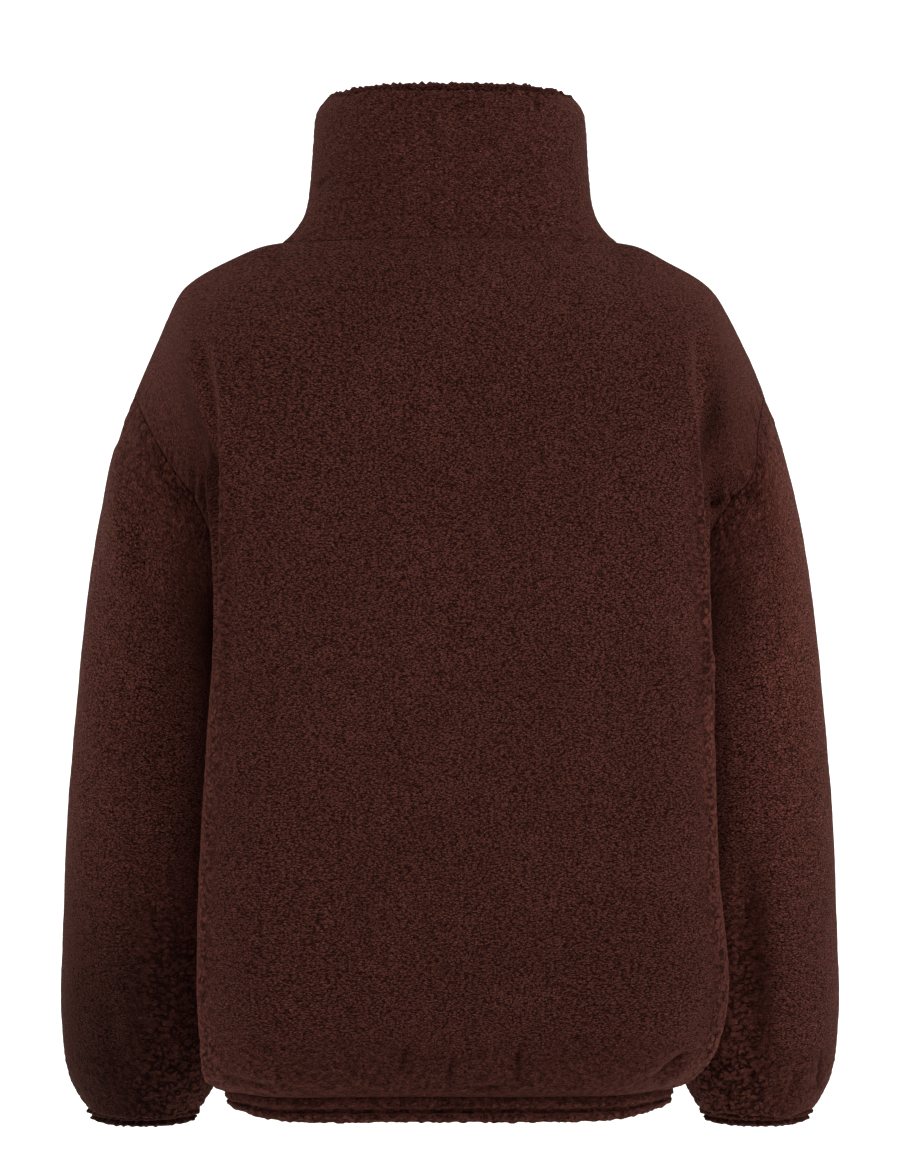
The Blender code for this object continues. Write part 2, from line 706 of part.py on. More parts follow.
def sheet_faces(rows, columns, wrap, swapped=((), (), ())):
    """Triangles of a closed sheet: outer grid, inner grid and the edges between."""
    swap_bottom, swap_top, swap_sides = swapped
    size = rows * columns
    faces = []
    last = columns if wrap else columns - 1
    for i in range(rows - 1):
        for j in range(last):
            k = (j + 1) % columns
            a = i * columns + j
            b = i * columns + k
            c = (i + 1) * columns + k
            d = (i + 1) * columns + j
            add_quad(faces, a, b, c, d, False)
            add_quad(faces, a + size, b + size, c + size, d + size, True)
    for j in range(last):
        k = (j + 1) % columns
        add_rim(faces, j, j + size, k + size, k, False, j in swap_bottom)
        top = (rows - 1) * columns
        add_rim(faces, top + j, top + j + size, top + k + size, top + k, True, j in swap_top)
    if not wrap:
        for i in range(rows - 1):
            a = i * columns
            b = (i + 1) * columns
            add_rim(faces, a, a + size, b + size, b, True, i in swap_sides)
            c = a + columns - 1
            d = b + columns - 1
            add_rim(faces, c, c + size, d + size, d, False, i in swap_sides)
    return faces


def loop_faces(rows, columns):
    """Triangles of a ring whose section is a closed loop of rows."""
    faces = []
    for i in range(rows):
        n = (i + 1) % rows
        for j in range(columns):
            k = (j + 1) % columns
            add_quad(faces, i * columns + j, i * columns + k, n * columns + k, n * columns + j, False)
    return faces


def back_swaps(shares, rows):
    """Edge quads of the back panel that meet the hem band, the collar and the sleeves."""
    bottom = set(range(len(shares) - 1))
    limit = NECK_SHARE + TINY
    top = {j for j in range(len(shares) - 1) if max(abs(shares[j]), abs(shares[j + 1])) <= limit}
    sides = set(range(len(LOWER_ROWS), rows - 1))
    return bottom, top, sides


def volume_of(points, faces):
    """Signed volume of a closed mesh."""
    corners = points[np.array(faces)]
    crossed = np.cross(corners[:, 1], corners[:, 2])
    return float(np.sum(corners[:, 0] * crossed) / 6.0)


def add_object(name, points, faces, collection):
    """Mesh object with outward faces and its own material."""
    points = np.asarray(points).reshape(-1, 3)
    if volume_of(points, faces) < 0.0:
        faces = [(a, c, b) for a, b, c in faces]
    mesh = bpy.data.meshes.new(name)
    mesh.from_pydata([tuple(map(float, point)) for point in points], [], faces)
    mesh.validate()
    mesh.update()
    for polygon in mesh.polygons:
        polygon.use_smooth = True
    thing = bpy.data.objects.new(name, mesh)
    collection.objects.link(thing)
    material = bpy.data.materials.new(name + "_fleece")
    material.use_nodes = True
    shader = material.node_tree.nodes["Principled BSDF"]
    shader.inputs["Base Color"].default_value = FLEECE_BROWN
    shader.inputs["Roughness"].default_value = FLEECE_ROUGHNESS
    shader.inputs["Sheen Weight"].default_value = FLEECE_SHEEN
    material.diffuse_color = FLEECE_BROWN
    thing.data.materials.append(material)
    return thing


def neck_ring(back, front, back_shares, front_shares):
    """Neck seam points all round: along the back to the right, then the front to the left."""
    back_pick = [j for j, share in enumerate(back_shares) if abs(share) <= NECK_SHARE + TINY]
    front_pick = [j for j, share in enumerate(front_shares) if abs(share) <= NECK_SHARE + TINY]
    back_line = back[-1, back_pick]
    front_line = front[-1, front_pick][::-1]
    return np.concatenate([back_line, front_line[1:-1]])


def collar_outline(seam, height):
    """Ring of the upright collar at a height, one point for each seam point."""
    heights = table_column(COLLAR_RINGS, 0)
    columns = np.array([row[1:] for row in COLLAR_RINGS])
    wide, back, front = curve_through(heights, columns, height)[0]
    middle = (back + front) / 2.0
    deep = (front - back) / 2.0
    angle = math.atan2((seam[1] - middle) / deep, seam[0] / wide)
    return np.array([wide * math.cos(angle), middle + deep * math.sin(angle), height])


def rim_height(seam):
    """Height of the collar's top edge above a seam point."""
    angle = math.atan2(seam[1] / NECK_HALF_DEPTH, seam[0] / NECK_HALF_WIDTH)
    share = (1.0 + math.sin(angle)) / 2.0
    level = COLLAR_BACK_RIM_Z + (COLLAR_FRONT_RIM_Z - COLLAR_BACK_RIM_Z) * share
    return level - COLLAR_SIDE_DIP * abs(math.cos(angle)) ** COLLAR_SIDE_DIP_POWER


def collar_point(seam, share):
    """Point on the collar's outside, share 0 at the seam to 1 at the rim."""
    top = rim_height(seam)
    height = seam[2] + (top - seam[2]) * share
    ring = collar_outline(seam, height)
    foot = collar_outline(seam, seam[2])
    flare = math.exp(-(height - seam[2]) / COLLAR_FLARE_HEIGHT)
    return ring + (seam - foot) * flare


def collar_grid(seam_ring):
    """Outside of the collar, rows up by stations round."""
    return np.array([[collar_point(seam, share) for seam in seam_ring] for share in COLLAR_STEPS])


def rolled_ring(outer, normals, wall, seam_wall, inner_rows, edge_step):
    """Closed loop of rows: the outside from the seam, a rounded edge, then the inside back."""
    mitred = outer[0].copy()
    for j in range(outer.shape[1]):
        mitred[j] = seam_inward(outer[0, j], normals[0, j], seam_wall)
    shift = edge_shift(outer[0], mitred, outer[1], True)
    rows = [row.copy() for row in outer]
    rows[0] = rows[0] + shift
    last = outer[-1]
    beyond = unit(last - outer[-2])
    inward = -normals[-1]
    half = wall / 2.0
    for degrees in EDGE_TURNS:
        angle = math.radians(degrees)
        rows.append(last + inward * half * (1.0 - math.cos(angle)) + beyond * edge_step * math.sin(angle))
    for row in inner_rows:
        rows.append(outer[row] - normals[row] * wall)
    rows.append(mitred + shift)
    return np.array(rows)


def hem_ring(back, front):
    """Hem seam points all round: along the back to the right, then the front to the left."""
    return np.concatenate([back[0], front[0][::-1][1:-1]])


def band_grid(ring, height, side_share, puff, groove):
    """Outside of a gathered band that hangs from a seam ring, rows down by stations."""
    rows = []
    centre = ring.mean(axis=0)
    outward = ring - centre
    outward[:, 2] = 0.0
    widest = np.max(np.abs(outward[:, 0]))
    narrowing = (1.0 - side_share) * np.abs(outward[:, 0] / widest) ** BAND_NARROWING_POWER
    heights = height * (1.0 - narrowing)
    outward = unit(outward)
    for share, swell, dip in BAND_ROWS:
        out = puff * swell - groove * dip
        row = ring + outward * out
        row[:, 2] -= heights * share
        rows.append(row)
    return np.array(rows)


def clear_scene():
    """Remove what a new file starts with."""
    for thing in list(bpy.data.objects):
        bpy.data.objects.remove(thing, do_unlink=True)


def build():
    """Every sub-part of the top."""
    clear_scene()
    collection = bpy.data.collections.new(COLLECTION_NAME)
    bpy.context.scene.collection.children.link(collection)

    back_shares, back, back_out = panel_grid(BACK)
    front_shares, front, front_out = panel_grid(FRONT)
    sleeves = {}
    for side in (1, -1):
        grid = sleeve_grid(side, back, front)
        sleeves[side] = (grid, grid_normals(grid, True, side > 0))
    neck = neck_ring(back, front, back_shares, front_shares)
    collar = collar_grid(neck)
    collar_out = grid_normals(collar, True, True)
    hem = hem_ring(back, front)
    hem_band = band_grid(hem, HEM_BAND_HEIGHT, HEM_BAND_SIDE_SHARE, BAND_PUFF, BAND_GROOVE)
    hem_out = grid_normals(hem_band, True, False)
    cuffs = {}
    for side in (1, -1):
        cuff = band_grid(sleeves[side][0][-1], CUFF_HEIGHT, 1.0, CUFF_PUFF, 0.0)
        cuffs[side] = (cuff, grid_normals(cuff, True, side > 0))

    note_panel(back, back_out, back_shares)
    note_panel(front, front_out, front_shares)
    note_seam(collar[0], collar_out[0], np.ones(len(neck)))
    note_seam(hem_band[0], hem_out[0], np.ones(len(hem)))
    for side in (1, -1):
        grid, normals = sleeves[side]
        note_seam(grid[0], normals[0], np.ones(grid.shape[1]))
        note_seam(grid[-1], normals[-1], np.ones(grid.shape[1]))
        cuff, cuff_out = cuffs[side]
        note_seam(cuff[0], cuff_out[0], np.ones(cuff.shape[1]))

    swaps = back_swaps(back_shares, back.shape[0])
    panels = [("back_panel", back, back_out, swaps)]
    panels.append(("front_panel", front, front_out, ((), (), ())))
    for name, points, normals, swapped in panels:
        outer, inner = panel_walls(points, normals)
        faces = sheet_faces(outer.shape[0], outer.shape[1], False, swapped)
        add_object(name, np.concatenate([outer, inner]), faces, collection)
    for side, name in ((1, "sleeve_right"), (-1, "sleeve_left")):
        grid, normals = sleeves[side]
        outer, inner = tube_walls(grid, normals, WALL, ((0, 1), (-1, -1)))
        faces = sheet_faces(outer.shape[0], outer.shape[1], True)
        add_object(name, np.concatenate([outer, inner]), faces, collection)
    loops = [("collar", collar, collar_out, COLLAR_WALL, COLLAR_SEAM_WALL,
              COLLAR_INNER_ROWS, COLLAR_EDGE_STEP)]
    loops.append(("hem_band", hem_band, hem_out, BAND_WALL, BAND_SEAM_WALL,
                  BAND_INNER_ROWS, BAND_EDGE_STEP))
    for side, name in ((1, "cuff_right"), (-1, "cuff_left")):
        cuff, cuff_out = cuffs[side]
        loops.append((name, cuff, cuff_out, CUFF_WALL, WALL, BAND_INNER_ROWS, CUFF_EDGE_STEP))
    for name, grid, normals, wall, seam_wall, inner_rows, edge_step in loops:
        ring = rolled_ring(grid, normals, wall, seam_wall, inner_rows, edge_step)
        add_object(name, ring, loop_faces(ring.shape[0], ring.shape[1]), collection)


build()
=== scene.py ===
import functools
import math

import bpy
import numpy as np
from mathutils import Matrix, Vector


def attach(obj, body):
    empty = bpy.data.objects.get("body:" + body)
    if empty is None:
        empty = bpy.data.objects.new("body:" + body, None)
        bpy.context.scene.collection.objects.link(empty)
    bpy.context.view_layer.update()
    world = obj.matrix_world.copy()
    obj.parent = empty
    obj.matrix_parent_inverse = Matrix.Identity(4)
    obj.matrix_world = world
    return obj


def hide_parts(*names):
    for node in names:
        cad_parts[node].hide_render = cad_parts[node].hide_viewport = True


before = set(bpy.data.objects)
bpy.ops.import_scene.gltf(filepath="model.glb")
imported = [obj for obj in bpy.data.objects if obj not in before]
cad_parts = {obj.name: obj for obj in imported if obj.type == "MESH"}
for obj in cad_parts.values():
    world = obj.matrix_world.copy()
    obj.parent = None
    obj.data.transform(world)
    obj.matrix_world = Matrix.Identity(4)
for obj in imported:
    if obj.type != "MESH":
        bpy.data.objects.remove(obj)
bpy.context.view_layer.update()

# The fleece top's looks. Metres, +Z up, the back faces -Y. The tables of the cut repeat those of
# the solids, so every piece lies on its own solid.

BACK = -1
FRONT = 1
NUDGE = 0.002

# Walls of the cloth
WALL = 0.004
COLLAR_WALL = 0.008
COLLAR_SEAM_WALL = 0.005
BAND_WALL = 0.008
BAND_SEAM_WALL = 0.005
CUFF_WALL = 0.006
LONGEST_MITRE = 2.4
SEAM_REACH = 0.004

# Heights on the body
UNDERARM_Z = -0.290
HEM_SEAM_Z = -0.640
HEM_DROOP_RIGHT = 0.002
HEM_DROOP_LEFT = 0.005
HEM_DROOP_TOP_Z = -0.560
HEM_BAND_HEIGHT = 0.0215
HEM_BAND_SIDE_SHARE = 0.60

# Body sections: height, back depth, front depth, crest right, crest left, crest front,
# crest depth, valley half width, side half width
BODY_SECTIONS = (
    (-0.6400, -0.1180, 0.1150, 0.1710, 0.1725, 0.1705, 0.055, 0.1690, 0.1670),
    (-0.6360, -0.1225, 0.1185, 0.1785, 0.1800, 0.1720, 0.059, 0.1685, 0.1660),
    (-0.6240, -0.1305, 0.1240, 0.1925, 0.1880, 0.1745, 0.069, 0.1670, 0.1645),
    (-0.6010, -0.1350, 0.1270, 0.2045, 0.1895, 0.1770, 0.077, 0.1655, 0.1630),
    (-0.5785, -0.1360, 0.1275, 0.2095, 0.1911, 0.1780, 0.080, 0.1645, 0.1615),
    (-0.5400, -0.1350, 0.1270, 0.2105, 0.1915, 0.1780, 0.080, 0.1635, 0.1605),
    (-0.4950, -0.1330, 0.1260, 0.2055, 0.1905, 0.1775, 0.080, 0.1630, 0.1595),
    (-0.4190, -0.1305, 0.1240, 0.2015, 0.1865, 0.1765, 0.080, 0.1620, 0.1570),
    (-0.3430, -0.1300, 0.1220, 0.1992, 0.1815, 0.1750, 0.079, 0.1600, 0.1545),
    (-0.3150, -0.1300, 0.1210, 0.1985, 0.1795, 0.1745, 0.078, 0.1620, 0.1560),
    (-0.2900, -0.1300, 0.1200, 0.1975, 0.1785, 0.1745, 0.078, 0.1675, 0.1635),
)
SIDE_DEPTH = 0.006

# Stations on a half section: share of the way round, from the middle to the side seam
STATION_SHARES = (0.0, 0.27, 0.51, 0.62, 0.70, 0.78, 0.87, 1.0)
CREST_SHARE = 0.70
NECK_SHARE = 0.44
FLAT_HALF_WIDTH = 0.085
FLAT_RISE = 0.0028
TURN_INSET = 0.042
TURN_RISE = 0.0140
CREST_LEAD = 0.012
CREST_STEP = 0.020
UNDER_WAY = 0.30
UNDER_DROP = 0.25
VALLEY_WAY = 0.62
VALLEY_DROP = 0.80
FRONT_CREST_FORWARD = 0.008

# Neck seam: share from the middle to the shoulder, half width, depth, height
BACK_NECK = (
    (0.00, 0.0000, -0.0850, 0.0056),
    (0.25, 0.0340, -0.0825, 0.0052),
    (0.50, 0.0660, -0.0735, 0.0044),
    (0.75, 0.0960, -0.0560, 0.0028),
    (0.90, 0.1160, -0.0350, 0.0018),
    (1.00, 0.1275, -0.0150, 0.0008),
)
FRONT_NECK = (
    (0.00, 0.0000, 0.0820, -0.0400),
    (0.25, 0.0340, 0.0790, -0.0385),
    (0.50, 0.0660, 0.0680, -0.0330),
    (0.75, 0.0960, 0.0470, -0.0235),
    (0.90, 0.1165, 0.0200, -0.0105),
    (1.00, 0.1275, -0.0150, 0.0008),
)

# Shoulder seam: share from neck to sleeve, half width right, half width left, depth, height
SHOULDER = (
    (0.000, 0.1275, 0.1275, -0.0150, 0.0008),
    (0.060, 0.1380, 0.1385, -0.0130, -0.0010),
    (0.127, 0.1485, 0.1500, -0.0110, -0.0046),
    (0.223, 0.1638, 0.1685, -0.0080, -0.0130),
    (0.364, 0.1851, 0.1900, -0.0050, -0.0245),
    (0.471, 0.1997, 0.2040, -0.0030, -0.0360),
    (0.557, 0.2081, 0.2112, -0.0020, -0.0480),
    (0.709, 0.2203, 0.2215, -0.0010, -0.0710),
    (0.855, 0.2311, 0.2315, 0.0000, -0.0935),
    (1.000, 0.2403, 0.2413, 0.0000, -0.1165),
)

# Armhole seams from underarm to shoulder: share, half width, depth, height
ARMHOLE_BACK_RIGHT = (
    (0.00, 0.1635, 0.006, -0.2900),
    (0.12, 0.1730, -0.018, -0.2720),
    (0.28, 0.1895, -0.042, -0.2360),
    (0.42, 0.2070, -0.053, -0.2020),
    (0.55, 0.2233, -0.057, -0.1825),
    (0.66, 0.2312, -0.057, -0.1670),
    (0.78, 0.2332, -0.050, -0.1450),
    (0.90, 0.2368, -0.030, -0.1270),
    (1.00, 0.2403, 0.000, -0.1165),
)
ARMHOLE_BACK_LEFT = (
    (0.00, 0.1635, 0.006, -0.2900),
    (0.12, 0.1700, -0.018, -0.2720),
    (0.28, 0.1770, -0.042, -0.2380),
    (0.42, 0.1860, -0.053, -0.2080),
    (0.55, 0.1970, -0.057, -0.1870),
    (0.66, 0.2085, -0.057, -0.1710),
    (0.78, 0.2215, -0.050, -0.1510),
    (0.90, 0.2330, -0.030, -0.1310),
    (1.00, 0.2413, 0.000, -0.1165),
)
ARMHOLE_FRONT = (
    (0.00, 0.1635, 0.006, -0.2900),
    (0.12, 0.1700, 0.026, -0.2700),
    (0.28, 0.1790, 0.046, -0.2360),
    (0.42, 0.1900, 0.056, -0.2050),
    (0.55, 0.2030, 0.060, -0.1830),
    (0.66, 0.2150, 0.059, -0.1670),
    (0.78, 0.2260, 0.050, -0.1470),
    (0.90, 0.2350, 0.030, -0.1280),
    (1.00, 0.2403, 0.000, -0.1165),
)

# How the cloth arrives at the neck and shoulder: share, rise in degrees, pull
ARRIVAL = (
    (0.00, 62.0, 0.95),
    (0.27, 50.0, 1.05),
    (0.44, 30.0, 1.20),
    (0.60, 18.0, 1.35),
    (0.80, 12.0, 1.20),
    (1.00, 8.0, 1.00),
)
DEPARTURE_PULL = 1.15
FOLD_DECAY = 0.13
LOW_FADE_POWER = 4
HIGH_FADE_POWER = 5
ARMHOLE_FADE_POWER = 4

# Sleeve sections: height, middle half width, middle depth, half width, half depth
SLEEVE_SECTIONS = (
    (-0.3600, 0.2294, 0.0120, 0.0574, 0.0600),
    (-0.4000, 0.2315, 0.0145, 0.0590, 0.0625),
    (-0.4500, 0.2337, 0.0175, 0.0607, 0.0650),
    (-0.5000, 0.2349, 0.0205, 0.0617, 0.0660),
    (-0.5500, 0.2364, 0.0240, 0.0624, 0.0655),
    (-0.5900, 0.2374, 0.0270, 0.0623, 0.0640),
    (-0.6200, 0.2372, 0.0285, 0.0606, 0.0610),
    (-0.6400, 0.2368, 0.0295, 0.0578, 0.0570),
    (-0.6550, 0.2363, 0.0300, 0.0528, 0.0510),
    (-0.6640, 0.2362, 0.0300, 0.0475, 0.0450),
)
SLEEVE_TOP_Z = -0.360
SLEEVE_BLEND = (0.0, 0.10, 0.22, 0.36, 0.52, 0.68, 0.84)
SLEEVE_ROWS = (-0.360, -0.400, -0.450, -0.500, -0.550, -0.590, -0.620, -0.640, -0.655, -0.664)
SLEEVE_TURN_Z = -0.6680
SLEEVE_TURN_SCALE = 0.92
CUFF_SEAM_Z = -0.6680
CUFF_HALF_WIDTH = 0.0400
CUFF_HALF_DEPTH = 0.0360
CUFF_HEIGHT = 0.0125

# Swelling of the hem band and cuffs, and rows of a band: share down, swell, dip
BAND_PUFF = 0.0022
BAND_GROOVE = 0.0008
CUFF_PUFF = 0.0044
BAND_NARROWING_POWER = 5
BAND_TUCK = 0.006
BAND_SIDE_CALM = 0.85
BAND_CALM_POWER = 6
BAND_ROWS = (
    (0.00, 0.0, 0.0),
    (0.14, 1.0, 0.0),
    (0.30, 1.0, 0.0),
    (0.43, 0.0, 1.0),
    (0.60, 1.0, 0.0),
    (0.82, 0.2, 0.0),
)

# Sleeve leaving the armhole: turn round it in degrees from the top, out, back, down
SLEEVE_LEAVING = (
    (0.0, 0.36, 0.00, -0.93),
    (90.0, 0.52, -0.05, -0.85),
    (180.0, 0.62, 0.00, -0.78),
    (270.0, 0.52, 0.05, -0.85),
    (360.0, 0.36, 0.00, -0.93),
)

# Long soft valleys in the sleeves: side, turn in degrees, spread, top, bottom, depth
SLEEVE_VALLEYS = (
    (1, 98.0, 16.0, -0.430, -0.660, 0.0045),
    (1, 262.0, 18.0, -0.400, -0.640, 0.0030),
    (-1, 84.0, 20.0, -0.560, -0.665, 0.0025),
    (-1, 268.0, 18.0, -0.420, -0.650, 0.0030),
)
VALLEY_TOP_EASE = 0.06
VALLEY_BOTTOM_EASE = 0.03

# Collar rings: height, half width, back depth, front depth
COLLAR_RINGS = (
    (-0.060, 0.1085, -0.0830, 0.0800),
    (0.000, 0.1075, -0.0835, 0.0810),
    (0.030, 0.1065, -0.0840, 0.0820),
    (0.060, 0.1050, -0.0855, 0.0835),
    (0.090, 0.1030, -0.0875, 0.0850),
    (0.125, 0.0990, -0.0895, 0.0860),
)
COLLAR_BACK_RIM_Z = 0.1158
COLLAR_FRONT_RIM_Z = 0.1228
COLLAR_SIDE_DIP = 0.0050
COLLAR_SIDE_DIP_POWER = 4
COLLAR_SIDE_ROLL = 0.0125
COLLAR_ROLL_HEIGHT = 0.020
COLLAR_TOP_SHARE = 0.78
NECK_HALF_WIDTH = 0.1275
NECK_HALF_DEPTH = 0.0835
COLLAR_FLARE_HEIGHT = 0.014
COLLAR_STEPS = (0.0, 0.045, 0.11, 0.20, 0.34, 0.52, 0.72, 0.82)
COLLAR_RIM_STEPS = (0.87, 0.91, 0.94, 0.962)

# Rolled edges: turns in degrees, how far each edge steps out, rows that the inside repeats
EDGE_TURNS = (40.0, 90.0, 140.0, 180.0)
COLLAR_EDGE_STEP = 0.004
BAND_EDGE_STEP = 0.003
CUFF_EDGE_STEP = 0.002
COLLAR_INNER_ROWS = (7, 5, 3)
BAND_INNER_ROWS = (3,)

# Columns that space a panel's rows, and trial places for even spacing
LOWER_GUIDE_SHARE = 0.30
UPPER_GUIDE_SHARE = 0.27
TRIAL_PLACES = 400

# Fine grids of the cloth: cells across and cells along, in fours
FOURS = 4
BACK_CELLS = (312, 288)
FRONT_CELLS = (272, 240)
SLEEVE_CELLS = (216, 300)
COLLAR_CELLS = (560, 156)
HEM_CELLS = (640, 56)
CUFF_CELLS = (176, 40)

# How far each sewn edge is drawn in, and how far from the edge that reaches
NECK_SINK = (0.0008, 0.0022)
ARMHOLE_SINK = (0.0010, 0.0045)
HEM_SINK = (0.0020, 0.0032)
CUFF_SINK = (0.0024, 0.0035)

# Creases, as lines in the view from the back or front: points of width and height, reach to
# each side, depth (a ridge is below zero)
BACK_CREASES = (
    (((-0.1880, -0.0700), (-0.1835, -0.1150), (-0.1825, -0.1790), (-0.1835, -0.2450), (-0.1840, -0.3300)),
     0.0090, 0.0150),
    (((-0.1780, -0.0600), (-0.1725, -0.1150), (-0.1710, -0.1790), (-0.1720, -0.2450), (-0.1730, -0.3600)),
     0.0055, -0.0060),
    (((0.1880, -0.0650), (0.1960, -0.1340), (0.2005, -0.1870), (0.2030, -0.2450), (0.2050, -0.3100)),
     0.0095, 0.0140),
    (((0.1790, -0.0600), (0.1860, -0.1340), (0.1905, -0.1870), (0.1935, -0.2450), (0.1960, -0.3600)),
     0.0055, -0.0055),
    (((0.0525, -0.596), (0.0505, -0.612), (0.0515, -0.626)), 0.0032, 0.0026),
    (((0.0020, -0.606), (0.0000, -0.620), (-0.0010, -0.631)), 0.0030, 0.0022),
    (((-0.0330, -0.600), (-0.0365, -0.619)), 0.0030, 0.0022),
    (((0.0180, -0.6320), (0.0376, -0.6312)), 0.0022, 0.0018),
    (((0.1510, -0.6300), (0.1615, -0.6210), (0.1796, -0.6060)), 0.0040, 0.0036),
    (((0.1560, -0.6365), (0.1690, -0.6270), (0.1850, -0.6160)), 0.0050, -0.0026),
    (((-0.1718, -0.6260), (-0.1545, -0.6310), (-0.1300, -0.6340)), 0.0045, 0.0030),
    (((0.0760, -0.5300), (0.0800, -0.5900)), 0.0160, 0.0018),
    (((-0.0800, -0.4600), (-0.0880, -0.5900)), 0.0220, 0.0016),
    (((0.1380, -0.2600), (0.1420, -0.4300)), 0.0200, 0.0020),
    (((-0.1250, -0.2400), (-0.1320, -0.4100)), 0.0200, 0.0018),
    (((0.1984, -0.2141), (0.2158, -0.1936)), 0.0030, 0.0020),
    (((0.1960, -0.2060), (0.2110, -0.1890)), 0.0026, 0.0016),
)
FRONT_CREASES = (
    (((-0.1900, -0.0700), (-0.1850, -0.1300), (-0.1835, -0.2000), (-0.1830, -0.3000)), 0.0090, 0.0075),
    (((0.1900, -0.0650), (0.1860, -0.1300), (0.1835, -0.2000), (0.1825, -0.3200)), 0.0090, 0.0080),
    (((0.0420, -0.6000), (0.0450, -0.6280)), 0.0034, 0.0026),
    (((-0.0120, -0.6060), (-0.0090, -0.6290)), 0.0030, 0.0022),
    (((-0.0780, -0.5980), (-0.0750, -0.6240)), 0.0036, 0.0024),
    (((0.1400, -0.6250), (0.1640, -0.6080)), 0.0042, 0.0032),
    (((-0.1580, -0.6150), (-0.1360, -0.6300)), 0.0042, 0.0030),
    (((0.0500, -0.0900), (0.1250, -0.1850)), 0.0180, 0.0028),
    (((-0.0480, -0.0950), (-0.1200, -0.1950)), 0.0170, 0.0024),
    (((0.0850, -0.4200), (0.0760, -0.5800)), 0.0220, 0.0022),
    (((-0.0600, -0.4600), (-0.0660, -0.5900)), 0.0200, 0.0020),
)
SLEEVE_BACK_CREASES_LEFT = (
    (((-0.2530, -0.1500), (-0.2500, -0.2088), (-0.2460, -0.2695)), 0.0110, -0.0050),
    (((-0.2300, -0.1900), (-0.2360, -0.2700)), 0.0130, 0.0026),
    (((-0.2600, -0.5750), (-0.2540, -0.6400)), 0.0080, 0.0024),
    (((-0.2250, -0.5900), (-0.2210, -0.6450)), 0.0080, 0.0020),
    (((-0.2050, -0.3000), (-0.2150, -0.4200)), 0.0140, 0.0024),
)
SLEEVE_BACK_CREASES_RIGHT = (
    (((0.2226, -0.4700), (0.2289, -0.5464), (0.2306, -0.6500)), 0.0100, 0.0060),
    (((0.2130, -0.6400), (0.2131, -0.6640)), 0.0022, 0.0030),
    (((0.2855, -0.6200), (0.2825, -0.6500)), 0.0030, 0.0026),
    (((0.2480, -0.6350), (0.2520, -0.6600)), 0.0060, 0.0024),
    (((0.2450, -0.2300), (0.2440, -0.3200)), 0.0120, 0.0022),
    (((0.2100, -0.2500), (0.2220, -0.3600)), 0.0130, 0.0026),
    (((0.2650, -0.6250), (0.2600, -0.6550)), 0.0050, 0.0022),
)
SLEEVE_FRONT_CREASES_LEFT = (
    (((-0.2450, -0.1900), (-0.2350, -0.3000)), 0.0130, 0.0028),
    (((-0.2080, -0.2800), (-0.2200, -0.3900)), 0.0140, 0.0026),
    (((-0.2500, -0.5800), (-0.2460, -0.6450)), 0.0080, 0.0024),
)
SLEEVE_FRONT_CREASES_RIGHT = (
    (((0.2380, -0.1850), (0.2290, -0.2900)), 0.0130, 0.0026),
    (((0.2120, -0.2900), (0.2230, -0.4000)), 0.0140, 0.0028),
    (((0.2300, -0.5900), (0.2280, -0.6500)), 0.0080, 0.0024),
)
COLLAR_CREASES = (
    (((-0.1018, 0.0426), (-0.0904, 0.0524)), 0.0035, 0.0018),
    (((0.0640, 0.1120), (0.0668, 0.1000)), 0.0030, 0.0020),
    (((-0.0500, 0.0300), (-0.0300, 0.0600)), 0.0180, 0.0012),
    (((0.0600, 0.0250), (0.0500, 0.0700)), 0.0200, 0.0014),
)
CREASE_FACING = 0.35
SHARP_CREASE_REACH = 0.005
DEEP_CREASE = 0.004
CREASE_SHADE_REACH = 0.0016
SEAM_CALM = 0.022

# The sleeve end hangs over its cuff: how far from the seam it turns, how far it drops and spreads,
# how far up and down that reaches, and its waves: count, start, size
LIP_TURN = 0.0075
LIP_DROP = 0.0030
LIP_SPREAD = 0.0022
LIP_REACH = 0.0100
LIP_REACH_BELOW = 0.0045
LIP_SIDE_CALM = 0.8
LIP_ROUND = 0.0012
LIP_ROUND_REACH = 0.018
LIP_ROUND_RISE = 0.7
LIP_WAVES = ((2.0, 0.9, 0.45), (5.0, 2.3, 0.35), (9.0, 4.1, 0.20))

# Small upright gathers of the cuffs, tufts along the rolled edges, stitched groove of the hem band
CUFF_TAPER = 0.0050
CUFF_GATHERS = 0.0011
CUFF_GATHER_COUNT = 34
CUFF_GATHER_SWAY = 1.7
CUFF_GATHER_SWAYS = 3.0
TUFT_REACH = 0.0040
HEM_GROOVE_SHARE = 0.50
HEM_GROOVE_REACH = 0.0013
HEM_GROOVE_DEPTH = 0.0016

SLEEVE_CREASES = {
    1: (SLEEVE_BACK_CREASES_RIGHT, SLEEVE_FRONT_CREASES_RIGHT),
    -1: (SLEEVE_BACK_CREASES_LEFT, SLEEVE_FRONT_CREASES_LEFT),
}
HANDS = ((1, "right"), (-1, "left"))

# Sewn edges: edge of the sheet, strength of its puckers and of the painted shade along it, start of its run;
# and how each is sunk
PANEL_EDGES = (("first", 0.4, 0.0), ("last", 0.1, 1.0), ("left", 0.9, 2.0), ("right", 1.0, 3.0))
PANEL_SINKS = (("first", HEM_SINK), ("last", NECK_SINK), ("left", ARMHOLE_SINK), ("right", ARMHOLE_SINK))
SLEEVE_EDGES = (("first", 0.9, 0.0), ("last", 0.5, 1.0))
SLEEVE_SINKS = (("first", ARMHOLE_SINK), ("last", CUFF_SINK))
